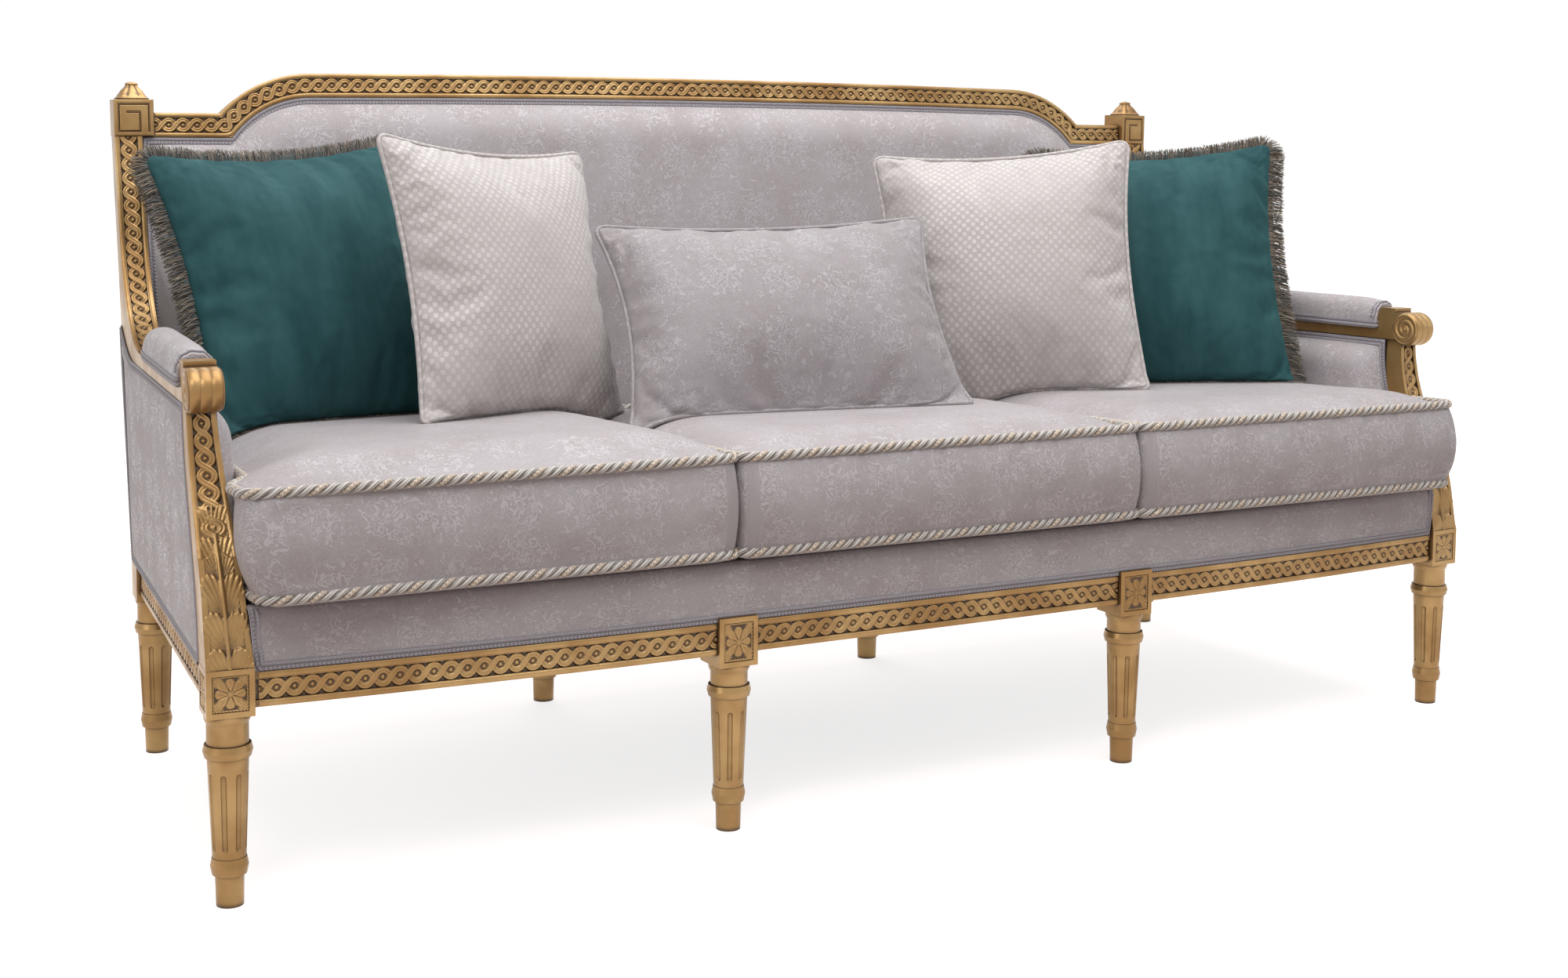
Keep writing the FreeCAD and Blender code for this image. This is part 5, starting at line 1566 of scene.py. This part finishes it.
@dataclass
class TwistedCord:
    """Thick cord of three strands, sewn along a cushion's seams."""

    radius: float = 0.0071
    twist: float = 0.04
    step: float = 0.0019
    around: int = 18

    def sew(self, draft: MeshDraft, loop: Points) -> None:
        """Lays the cord along a closed line.

        Args:
            draft: Where the faces go.
            loop: Points of the line, without the first one repeated.
        """
        path = Path(loop, closed=True)
        turns = max(1, round(path.length / self.twist))
        rows = int(path.length / self.step)
        share = np.arange(rows + 1)[:, None] / rows
        around = np.arange(self.around) / self.around
        lobe = np.abs(np.cos(1.5 * math.tau * around)) ** 0.8
        radius = self.radius * (0.6 + 0.4 * lobe)
        angle = math.tau * (around + share[:-1] * turns)
        points = path.tube(share[:-1, 0] * path.length, 0.004, np.array([0.0, 0.0, 1.0]),
                           (radius * np.cos(angle), radius * np.sin(angle)))
        share[-1] = share[-2]
        place = xyz(((around * 3 + 0.5) % 3) / 3, share * path.length, around)
        # The hollow mark is deepest in the grooves between strands, where the cord material paints
        # shade.
        hollow = np.broadcast_to(unit(1 - lobe) ** 1.5, points.shape[:2])
        draft.grid(points, place=place, hollow=hollow, ring=True, flip=True)


@dataclass(frozen=True)
class CoverSimulation:
    """Lets a sewn cover swell as cloth round its filling, held at its seams."""

    pressure: float = 5.0
    frames: int = 20
    spare: float = 0.04
    stiff: float = 15.0
    bend: float = 0.5
    damping: float = 4.0
    quality: int = 5

    def swell(self, points: Points, faces: Points, seam: Points) -> Points:
        """Runs the cloth.

        Args:
            points: Points of the cover, those on a seam given once for each sheet.
            faces: Four points to a face.
            seam: Whether each point lies on a seam.

        Returns:
            Where the points came to rest.
        """
        _, first, where = np.unique(np.round(points, 5) + 0.0, axis=0, return_index=True,
                                    return_inverse=True)
        where = where.ravel()
        mesh = bpy.data.meshes.new("cover_trial")
        mesh.from_pydata(points[first].tolist(), [], where[faces].tolist())
        thing = bpy.data.objects.new("cover_trial", mesh)
        scene = bpy.context.scene
        scene.collection.objects.link(thing)
        group = thing.vertex_groups.new(name="seam")
        group.add([int(k) for k in np.unique(where[seam])], 1.0, "REPLACE")
        modifier = thing.modifiers.new("cloth", "CLOTH")
        cloth = modifier.settings
        cloth.use_pressure = True
        cloth.uniform_pressure_force = self.pressure
        cloth.effector_weights.gravity = 0
        cloth.vertex_group_mass = group.name
        cloth.quality = self.quality
        cloth.tension_stiffness = cloth.compression_stiffness = self.stiff
        cloth.bending_stiffness = self.bend
        cloth.air_damping = self.damping
        cloth.shrink_min = -self.spare
        modifier.point_cache.frame_start = 1
        modifier.point_cache.frame_end = self.frames
        for frame in range(1, self.frames + 1):
            scene.frame_set(frame)
        shaped = thing.evaluated_get(bpy.context.evaluated_depsgraph_get())
        settled = np.empty(len(mesh.vertices) * 3, np.float32)
        shaped.to_mesh().vertices.foreach_get("co", settled)
        shaped.to_mesh_clear()
        bpy.data.objects.remove(thing)
        scene.frame_set(1)
        return settled.reshape(-1, 3).astype(float)[where]


@dataclass
class SeatCushion:
    """Boxed seat cushion with cord on both seams."""

    plan: FramePlan
    finishes: Finishes
    word: str
    way: int
    cord: TwistedCord = field(default_factory=TwistedCord)
    split_x: float = 0.334
    gap: float = 0.0012
    front_y: float = -0.748
    bulge: float = 0.015
    rear_gap: float = 0.003
    bottom: float = 0.3735
    rope_height: float = 0.138
    crown: float = 0.03
    corner: float = 0.026
    slope: float = math.radians(2)
    ear_top: float = 0.98
    ear_bottom: float = 0.968
    ear_swell: float = 0.013
    seam_foot: float = 0.0095
    sag: float = 0.003
    ear_rear: float = -0.690
    ear_neck: float = -0.592
    rows: int = 72
    columns: int = 72
    walls: int = 15
    most_swell: float = 0.006
    pad_gap: float = 0.0025
    crown_reach: float = 0.13
    sag_reach: float = 0.03
    unevenness: float = 0.0002
    pucker: float = 0.0007
    cord_out: float = 0.0015
    cloth: CoverSimulation = CoverSimulation(pressure=4.0, frames=16, spare=0.006)

    @property
    def rear_y(self) -> float:
        """Distance back of the cushion's rear."""
        plan = self.plan
        pad = plan.back_front_y + (self.bottom - plan.back_pivot) * math.tan(plan.rake)
        return pad - 0.026 - self.rear_gap

    def edges(self, y: Points, level: float) -> tuple[Points, Points]:
        """Left and right edge at the distances back, for the right or the middle cushion.

        Args:
            y: Distances back.
            level: Share of the height between the seams.

        Returns:
            X of the left edge and of the right edge.
        """
        if self.way == 0:
            right = np.full_like(y, self.split_x - self.gap / 2)
            left = -right
        else:
            left = np.full_like(y, self.split_x + self.gap / 2)
            ear = self.ear_bottom + (self.ear_top - self.ear_bottom) * level ** 2
            inside = self.plan.seat_side(y) - self.pad_gap
            neck = float(self.plan.seat_side(self.ear_neck)) - self.pad_gap
            share = unit((y - self.ear_rear) / (self.ear_neck - self.ear_rear))
            share = share * share * (3 - 2 * share)
            right = np.where(y < self.ear_neck, ear + (neck - ear) * share, inside)
        for far in (y - self.front_y, self.rear_y - y):
            cut = self.corner - np.sqrt(np.clip(
                self.corner ** 2 - np.clip(self.corner - far, 0, self.corner) ** 2, 0, None))
            left = left + cut
            right = right - cut
        return left, right

    def face(self, level: float, rise: float, reach: float) -> Points:
        """One face of the cushion as a grid, before it is sloped.

        Args:
            level: Share of the height between the seams.
            rise: Height of the crown above the seam, negative below it.
            reach: Distance from the seam over which it rises.

        Returns:
            Rows from front to rear by columns from left to right.
        """
        down, along = (0.45 * even + 0.55 * (0.5 - 0.5 * np.cos(math.pi * even))
                       for even in (np.linspace(0, 1, self.rows), np.linspace(0, 1, self.columns)))
        y = self.front_y + (self.rear_y - self.front_y) * down
        left, right = (edge[:, None] for edge in self.edges(y, level))
        y = y[:, None]
        x = left + (right - left) * along
        full = filled(3.2, (x - left) / reach, (right - x) / reach, (y - self.front_y) / reach) * \
            ease((self.rear_y - y) / (3.2 * reach), 2.4)
        return xyz(x, y, self.seam_foot + (self.rope_height - self.seam_foot) * level + rise * full)

    def slanted(self, points: Points) -> Points:
        """Slopes the cushion back and moves it to the room, at its own end."""
        c, n = math.cos(self.slope), math.sin(self.slope)
        y, z = points[..., 1] - self.front_y, points[..., 2]
        moved = xyz(points[..., 0], self.front_y + y * c + z * n, self.bottom + z * c - y * n)
        return self.plan.room(moved, Side.LEFT if self.way < 0 else Side.RIGHT)

    @staticmethod
    def rim(face: Points) -> Points:
        """Points round the edge of a grid, once round."""
        return np.concatenate([face[0, :-1], face[:-1, -1], face[-1, :0:-1], face[:0:-1, 0]])

    def on_seam(self, count: int) -> Points:
        """Marks the points of both faces and the wall that lie on a seam.

        Args:
            count: Points once round a seam.

        Returns:
            True for each point on a seam.
        """
        face = np.ones((self.rows, self.columns), bool)
        face[1:-1, 1:-1] = False
        wall = np.zeros((self.walls, count), bool)
        wall[[0, -1]] = True
        return np.concatenate([face.ravel(), face.ravel(), wall.ravel()])

    def build(self, seeds: np.random.Generator) -> Points:
        """Builds the cushion and its cords, and returns its upper face as it lies."""
        top = self.face(1.0, self.crown, self.crown_reach)
        low = self.face(0.0, -self.seam_foot - self.sag, self.sag_reach)
        rim_top, rim_low = self.rim(top), self.rim(low)
        levels = np.linspace(0, 1, self.walls)[:, None]
        wall = rim_low * (1 - levels[..., None]) + rim_top * levels[..., None]
        ahead = np.roll(rim_top, -1, 0) - np.roll(rim_top, 1, 0)
        out = xyz(ahead[:, 1], -ahead[:, 0], 0.0)
        out /= np.maximum(np.linalg.norm(out, axis=1, keepdims=True), 1e-9)
        front = unit(-out[:, 1]) ** 1.5
        ear = unit(out[:, 0]) * (rim_top[:, 1] < self.ear_rear - 0.004) * (self.way != 0)
        around = Path(rim_top).run
        folds = np.sin(around * 178 + 1.5 * np.sin(around * 41)) * 0.55 + np.sin(around * 97 + 2)
        near = np.exp(-levels / 0.14) + np.exp(-(1 - levels) / 0.14)
        arch = np.sin(math.pi * levels)
        push = self.bulge * front * arch ** 0.75 + \
            self.ear_swell * ear * np.sin(math.pi * levels ** 0.8) + \
            self.pucker * folds * near * arch ** 0.5 * (front + 0.2)
        wall = wall + out * push[..., None]
        flip = self.way < 0
        trial = MeshDraft()
        trial.grid(top, flip=not flip)
        trial.grid(low, flip=flip)
        trial.grid(wall, ring=True, flip=flip)
        start = np.concatenate(trial.points)
        shift = np.zeros_like(start)
        seam = self.on_seam(len(rim_top))
        rough = start + seeds.normal(0, self.unevenness, start.shape) * ~seam[:, None]
        shift = self.cloth.swell(rough, np.concatenate(trial.faces), seam) - start
        far = np.linalg.norm(shift, axis=1, keepdims=True)
        shift *= self.most_swell * np.tanh(far / self.most_swell) / np.maximum(far, 1e-9)
        cut = top[..., 0].size
        free = np.concatenate([np.ones(cut), np.zeros(cut), np.tile(front, self.walls)])
        settled = self.slanted(start + shift * free[:, None])
        upper = settled[:cut].reshape(top.shape)
        draft = MeshDraft()
        draft.grid(upper, place=top, flip=not flip)
        draft.grid(settled[cut:2 * cut].reshape(low.shape), place=low, flip=flip)
        draft.grid(settled[2 * cut:].reshape(wall.shape),
                   place=xyz(around, wall[..., 2], wall[..., 1]), ring=True, flip=flip)
        body = f"cushion_{self.word}"
        thing = draft.build(f"seat_cover_{self.word}", self.finishes.cloth[Cloth.DAMASK],
                            weld=0.0002)
        Piece.settle(thing, "damask", body, (f"seat_cushion_{self.word}",), 0.85)
        seams = MeshDraft()
        for rim in (rim_top, rim_low):
            loop = self.slanted(rim + out * self.cord_out)
            self.cord.sew(seams, loop[::-1] if flip else loop)
        rope = seams.build(f"seat_cords_{self.word}", self.finishes.cloth[Cloth.CORD])
        Piece.settle(rope, "damask", body)
        return upper


class PillowEdge(Enum):
    """How the seam of a pillow is finished."""

    PIPING = "piping"
    FRINGE = "fringe"


@dataclass(frozen=True)
class PillowKind:
    """Cover of a pillow: its size, cloth, record slot and edge."""

    width: float
    height: float
    thickness: float
    cloth: Cloth
    slot: str
    edge: PillowEdge
    slack: float
    shift: float = 0.0


VELVET = PillowKind(0.43, 0.43, 0.15, Cloth.VELVET, "teal_velvet", PillowEdge.FRINGE, 0.7, -0.005)
CHECKED = PillowKind(0.438, 0.418, 0.16, Cloth.CHECK, "silver_check", PillowEdge.PIPING, 0.7)
LUMBAR = PillowKind(0.55, 0.35, 0.14, Cloth.SHADED, "damask", PillowEdge.PIPING, 0.7, -0.01)


@dataclass
class ScatterPillow:
    """One loose pillow, leaning where it lies."""

    plan: FramePlan
    finishes: Finishes
    name: str
    kind: PillowKind
    turn: float
    lean: float
    roll: float
    seed: int
    cells: int = 56
    drawn: float = 0.095
    corner: float = 0.024
    rest: float = 0.0015
    most_sag: float = 0.05
    piping: float = 0.0034
    header: float = 0.006
    fullness: float = 0.42
    unevenness: float = 0.0006
    sink: float = 0.003
    tube_step: float = 0.004
    tube_columns: int = 10
    thread_gap: float = 0.00032
    thread_length: float = 0.033
    thread_uneven: float = 0.0013
    thread_width: float = 0.0007
    thread_droop: float = 0.25
    thread_root: float = 0.01
    stray: tuple[float, float] = (0.13, 0.16)
    cloth: CoverSimulation = CoverSimulation()

    def cover(self) -> tuple[Points, Points]:
        """Front and rear sheets of the cover, filled to a given shape.

        Returns:
            Two grids in the pillow's own axes: X across, Z up, Y to the back.
        """
        even = np.linspace(-1, 1, self.cells + 1)
        edge = np.sign(even) * (0.6 * np.abs(even) + 0.4 * np.sin(np.abs(even) * math.pi / 2))
        u, v = np.meshgrid(edge, edge, indexing="xy")
        reach = [np.abs(w) * size / 2 for w, size in ((u, self.kind.width), (v, self.kind.height))]
        flat = (self.kind.width / 2 - self.corner, self.kind.height / 2 - self.corner)
        over = [np.clip(r - f, 0, None) / self.corner for r, f in zip(reach, flat)]
        x, z = (np.minimum(reach[k], flat[k]) +
                self.corner * over[k] * np.sqrt(1 - over[1 - k] ** 2 / 2)
                for k in (0, 1))
        x = np.sign(u) * x * (1 - self.drawn * (1 - v ** 2) * np.abs(u))
        z = np.sign(v) * z * (1 - self.drawn * (1 - u ** 2) * np.abs(v))
        y = self.kind.thickness / 2 * (unit(1 - u ** 2) * unit(1 - v ** 2)) ** self.fullness
        return xyz(x, -y, z), xyz(x, y, z)

    def simulated(self) -> tuple[Points, Points]:
        """Lets a half filled cover swell as cloth, and takes its creases.

        Returns:
            Front and rear sheets, fitted to the pillow's thickness.
        """
        rng = np.random.default_rng(self.seed)
        front, rear = self.cover()
        slack = np.array([1.0, 0.55, 1.0])
        draft = MeshDraft()
        draft.grid(front * slack)
        draft.grid(rear * slack, flip=True)
        start = np.concatenate(draft.points)
        seam = np.ones(front.shape[:2], bool)
        seam[1:-1, 1:-1] = False
        seam = np.concatenate([seam.ravel(), seam.ravel()])
        rough = start + rng.normal(0, self.unevenness, start.shape) * ~seam[:, None]
        settled = self.cloth.swell(rough, np.concatenate(draft.faces), seam)
        depth = settled[:, 1].max() - settled[:, 1].min()
        settled[:, 1] *= self.kind.thickness / depth
        sheets = settled.reshape(2, *front.shape)
        return sheets[0], sheets[1]

    @staticmethod
    def run(sheet: Points, axis: int) -> Points:
        """Length of cloth from the middle of the sheet, along one axis of its grid."""
        steps = np.linalg.norm(np.diff(sheet, axis=axis), axis=-1)
        length = np.insert(np.cumsum(steps, axis=axis), 0, 0.0, axis=axis)
        return length - length.take([length.shape[axis] // 2], axis=axis)

    def leaning(self, points: Points, centre: Points | float) -> Points:
        """Rolls, leans and turns points, and moves them to where the pillow lies."""
        spin = Matrix.Rotation(math.radians(-self.turn), 3, "Z") @ \
            Matrix.Rotation(math.radians(-self.lean), 3, "X") @ \
            Matrix.Rotation(math.radians(-self.roll), 3, "Y")
        return points @ np.array(spin).T + centre

    @property
    def facing(self) -> Points:
        """Direction out of the pillow's front."""
        return self.leaning(np.array([[0.0, -1.0, 0.0]]), 0.0)[0]

    @staticmethod
    def ground(points: Points, tops: BVHTree) -> Points:
        """Height of the cushions round each point, or nan beside them."""
        best = np.full(points.shape[:-1], np.nan)
        for x, y in ((0, 0), (0.012, 0), (-0.012, 0), (0, 0.012), (0, -0.012)):
            hits = [tops.ray_cast((p[0] + x, p[1] + y, 2.0), (0, 0, -1))[0]
                    for p in points.reshape(-1, 3)]
            heights = np.array([hit.z if hit else np.nan for hit in hits])
            best = np.fmax(best, heights.reshape(best.shape))
        return best

    def rested(self, points: Points, tops: BVHTree) -> Points:
        """Lets the foot of a sheet sink until it lies on the cushions.

        Args:
            points: The sheet, from its foot up.
            tops: Upper faces of the cushions.

        Returns:
            The sheet as it lies.
        """
        ground = self.ground(points, tops) + self.rest
        low = np.linspace(1, 0, len(points))[:, None] ** 4
        drop = np.clip(np.nan_to_num(points[..., 2] - ground), 0, self.most_sag) * low
        lying = points.copy()
        lying[..., 2] = np.fmax(points[..., 2] - drop, ground)
        return lying

    def build(self, tops: BVHTree) -> None:
        """Builds the pillow and its edge, resting on the cushions' upper faces."""
        sheets = self.simulated()
        low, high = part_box(self.name)
        spun = self.leaning(np.concatenate(sheets).reshape(-1, 3), 0.0)
        centre = np.array((low + high) / 2) - (spun.min(0) + spun.max(0)) / 2 + \
            np.array([self.kind.shift, 0, -self.sink])
        front, rear = (self.rested(self.leaning(sheet, centre), tops) for sheet in sheets)
        draft = MeshDraft()
        shift = self.seed * 0.37
        across, up = self.run(sheets[0], 1), self.run(sheets[0], 0)
        place = xyz(across + shift, up, 0.0)
        draft.grid(front, place=place)
        draft.grid(rear, place=place, flip=True)
        thing = draft.build(self.name + "_cover", self.finishes.cloth[self.kind.cloth],
                            weld=0.00005)
        smooth = thing.modifiers.new("smooth", "SUBSURF")
        smooth.levels = smooth.render_levels = 1
        Piece.settle(thing, self.kind.slot, self.name, (self.name,), self.kind.slack)
        loop = (SeatCushion.rim(front) + SeatCushion.rim(rear)) / 2
        if self.kind.edge is PillowEdge.PIPING:
            self.pipe(loop)
        else:
            self.fringe(loop, tops)

    def tube(self, draft: MeshDraft, loop: Points, wide: float, thick: float) -> None:
        """Lays a tube along the seam, so wide in the pillow's plane and so thick across it."""
        path = Path(loop, closed=True)
        rows = int(path.length / self.tube_step)
        distance = np.arange(rows + 1)[:, None] / rows * path.length
        angle = np.arange(self.tube_columns) / self.tube_columns * math.tau
        steady = np.ones((rows, 1))
        points = path.tube(distance[:-1, 0], 0.006, self.facing,
                           (steady * wide * np.cos(angle), steady * thick * np.sin(angle)))
        draft.grid(points, place=xyz(distance, angle * wide, 0.0), ring=True, flip=True)

    def pipe(self, loop: Points) -> None:
        """Sews piping of the pillow's own cloth along its seam."""
        draft = MeshDraft()
        self.tube(draft, loop, self.piping, self.piping)
        thing = draft.build(self.name + "_piping", self.finishes.cloth[self.kind.cloth])
        Piece.settle(thing, self.kind.slot, self.name)

    def fringe(self, loop: Points, tops: BVHTree) -> None:
        """Sews a brush fringe of cut threads along the seam."""
        rng = np.random.default_rng(self.seed)
        path = Path(loop, closed=True)
        count = int(path.length / self.thread_gap)
        distance = np.sort(rng.uniform(0, path.length, count))
        root = path.at(distance)
        tangent, facing = path.ahead(distance, 0.01), self.facing
        out = np.cross(tangent, facing)
        away = root - loop.mean(0)
        out *= np.sign((out * away).sum(1))[:, None]
        out = out * 0.8 + away / np.linalg.norm(away, axis=1, keepdims=True) * 0.25
        spread = rng.normal(0, self.stray[0], count)[:, None] * tangent + \
            rng.normal(0, self.stray[1], count)[:, None] * facing
        root = root - self.thread_root * out
        grow = out + spread
        grow /= np.linalg.norm(grow, axis=1, keepdims=True)
        length = rng.normal(self.thread_length, self.thread_uneven, count)[:, None, None]
        bend = np.array([0.0, 0.0, -self.thread_droop])
        reach = np.linspace(0, 1, 4)[:, None]
        line = root[:, None] + grow[:, None] * length * reach + bend * length * reach ** 2
        line[..., 2] = np.fmax(line[..., 2], (self.ground(root, tops) + 0.001)[:, None])
        width = self.thread_width * (1 - 0.35 * reach)
        threads = np.stack([line + width * (math.cos(a) * tangent[:, None] + math.sin(a) * facing)
                            for a in (0.5, 2.6, 4.7)], 2)
        shade = rng.uniform(0, 1, count)[:, None, None]
        place = np.broadcast_to(xyz(shade, reach, 0.0), threads.shape)
        draft = MeshDraft()
        draft.grid(threads, place=place, ring=True)
        self.tube(draft, loop, self.header, 0.2 * self.header)
        thing = draft.build(self.name + "_fringe", self.finishes.cloth[Cloth.FRINGE])
        Piece.settle(thing, self.kind.slot, self.name)


@dataclass
class CadDress:
    """Gives the CAD nodes that stay in view their finish."""

    finishes: Finishes
    nodes: dict[str, bpy.types.Object]
    slots: dict[str, str]

    def build(self) -> None:
        """Dresses every node by its slot in the record."""
        by_slot = {
            "gilt_wood": self.finishes.gilt, "inner_wood": self.finishes.beech,
            "damask": self.finishes.cloth[Cloth.DAMASK], "gimp": self.finishes.cloth[Cloth.GIMP],
            "teal_velvet": self.finishes.cloth[Cloth.VELVET],
            "silver_check": self.finishes.cloth[Cloth.CHECK],
            "webbing": self.finishes.cloth[Cloth.JUTE], "lining": self.finishes.cloth[Cloth.LINING],
            "screw_steel": self.finishes.steel,
        }
        for name, node in self.nodes.items():
            for place in node.material_slots:
                place.material = by_slot[self.slots[name]]
        LOG.info("dressed %d nodes of the frame", len(self.nodes))


@dataclass
class Studio:
    """Floor, light and camera."""

    plan: FramePlan
    eye: tuple[float, float, float] = (-1.5782, -3.1338, 0.9292)
    yaw: float = math.radians(28.70)
    pitch: float = math.radians(-4.77)
    roll: float = math.radians(0.44)
    lens: float = 47.17
    shift_y: float = -0.1124
    sensor: float = 36.0
    floor_size: float = 40.0
    floor_colour: Colour = (0.54, 0.47, 0.44, 1.0)
    world_light: float = 0.3

    def build(self) -> None:
        """Builds all three."""
        self.floor()
        self.lights()
        self.camera()

    @staticmethod
    def shown(graph: Graph) -> Socket:
        """Adds a mask of the rays that see the white background, straight or in a reflection."""
        rays = graph.add("ShaderNodeLightPath").outputs
        mirrored = graph.math("MAXIMUM", rays["Is Glossy Ray"], rays["Is Transmission Ray"])
        return graph.math("MAXIMUM", rays["Is Camera Ray"], mirrored)

    def floor(self) -> None:
        """Lays a pale floor that shows white and keeps the sofa's shadow."""
        bpy.ops.mesh.primitive_plane_add(size=self.floor_size, location=(0, 0, 0))
        floor = bpy.context.object
        floor.name = "studio_floor"
        material = bpy.data.materials.new("studio floor")
        material.use_nodes = True
        graph = Graph(material.node_tree)
        matt = graph.add("ShaderNodeBsdfDiffuse", {"Color": self.floor_colour})
        wide = graph.add("ShaderNodeMapping", {"Vector": graph.room(), "Scale": (0.2, 0.2, 0.2)})
        near = graph.add("ShaderNodeTexGradient", {"Vector": wide.outputs[0]},
                         gradient_type="SPHERICAL")
        glow = graph.add("ShaderNodeEmission", {"Color": (1, 1, 1, 1), "Strength": graph.times(
            self.shown(graph), graph.span(near.outputs["Fac"], 1.0, 0.78))})
        both = graph.add("ShaderNodeAddShader", {0: matt.outputs[0], 1: glow.outputs[0]})
        graph.add("ShaderNodeOutputMaterial", {0: both.outputs[0]})
        floor.data.materials.append(material)

    def lights(self) -> None:
        """Hangs soft studio lights round the sofa and a pale world behind them."""
        for name, place, size, power in (
                ("key", (-2.4, -2.6, 3.6), 1.4, 37), ("fill", (3.2, -2.6, 2.6), 2.6, 10),
                ("top", (0.2, -0.5, 3.4), 3.6, 112), ("rim", (0.5, 2.8, 2.9), 2.4, 28),
                ("left", (-4.0, -1.2, 1.7), 1.6, 20)):
            light = bpy.data.lights.new(name, "AREA")
            light.shape = "DISK"
            light.size = size
            light.energy = power
            lamp = bpy.data.objects.new(name, light)
            lamp.location = place
            aim = Vector((0, 0, 0.5)) - Vector(place)
            lamp.rotation_euler = aim.to_track_quat("-Z", "Y").to_euler()
            bpy.context.scene.collection.objects.link(lamp)
        world = bpy.data.worlds.new("studio")
        bpy.context.scene.world = world
        world.use_nodes = True
        graph = Graph(world.node_tree)
        room = graph.add("ShaderNodeBackground",
                         {"Color": (1, 1, 1, 1), "Strength": self.world_light})
        white = graph.add("ShaderNodeBackground", {"Color": (1, 1, 1, 1), "Strength": 1.0})
        both = graph.add("ShaderNodeMixShader",
                         {0: self.shown(graph), 1: room.outputs[0], 2: white.outputs[0]})
        graph.add("ShaderNodeOutputWorld", {0: both.outputs[0]})
        bpy.context.scene.view_settings.view_transform = "Standard"

    def camera(self) -> None:
        """Stands the camera where the photograph was taken from."""
        data = bpy.data.cameras.new("camera")
        data.sensor_width = self.sensor
        data.lens = self.lens
        data.shift_y = self.shift_y
        data.clip_start = 0.05
        camera = bpy.data.objects.new("camera", data)
        ahead = Vector((math.sin(self.yaw) * math.cos(self.pitch),
                        math.cos(self.yaw) * math.cos(self.pitch), math.sin(self.pitch)))
        right = Vector((math.cos(self.yaw), -math.sin(self.yaw), 0))
        up = right.cross(ahead)
        side = right * math.cos(self.roll) + up * math.sin(self.roll)
        top = up * math.cos(self.roll) - right * math.sin(self.roll)
        turn = Matrix((side, top, -ahead)).transposed().to_4x4()
        eye = Vector(self.eye) + Vector((0, self.plan.rear_line, 0))
        camera.matrix_world = Matrix.Translation(eye) @ turn
        bpy.context.scene.collection.objects.link(camera)
        bpy.context.scene.camera = camera


def main() -> None:
    """Builds the sofa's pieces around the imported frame, in order."""
    logging.basicConfig(level=logging.INFO, format="%(message)s")
    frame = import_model()
    low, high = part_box("leg_rear_mid_left")
    plan = FramePlan(rear_line=(low.y + high.y) / 2)
    finishes = Finishes()
    slots = {part["node"]: part["material_slot"] for part in frame["record"]["subparts"]}
    CadDress(finishes, frame["nodes"], slots).build()
    CarvedFrame(plan, finishes).build()
    FrameUpholstery(plan, finishes).build()
    seat = MeshDraft()
    for word, way in (("left", -1), ("center", 0), ("right", 1)):
        ear = {-1: 0.987, 0: 0.0, 1: 0.976}[way]
        cushion = SeatCushion(plan, finishes, word, way, ear_top=ear)
        seat.grid(cushion.build(np.random.default_rng(7)))
    tops = BVHTree.FromPolygons(np.concatenate(seat.points).tolist(),
                                np.concatenate(seat.faces).tolist())
    for pillow in (
            ScatterPillow(plan, finishes, "pillow_velvet_left", VELVET, -14.0, 22.0, 3.2, 1),
            ScatterPillow(plan, finishes, "pillow_check_left", CHECKED, -27.0, 16.0, -3.8, 2),
            ScatterPillow(plan, finishes, "pillow_lumbar", LUMBAR, 11.0, 38.0, 1.5, 3),
            ScatterPillow(plan, finishes, "pillow_check_right", CHECKED, 33.0, 19.0, 4.4, 4),
            ScatterPillow(plan, finishes, "pillow_velvet_right", VELVET, 32.0, 22.0, 3.6, 5)):
        pillow.build(tops)
    Studio(plan).build()


if __name__ == "__main__":
    main()
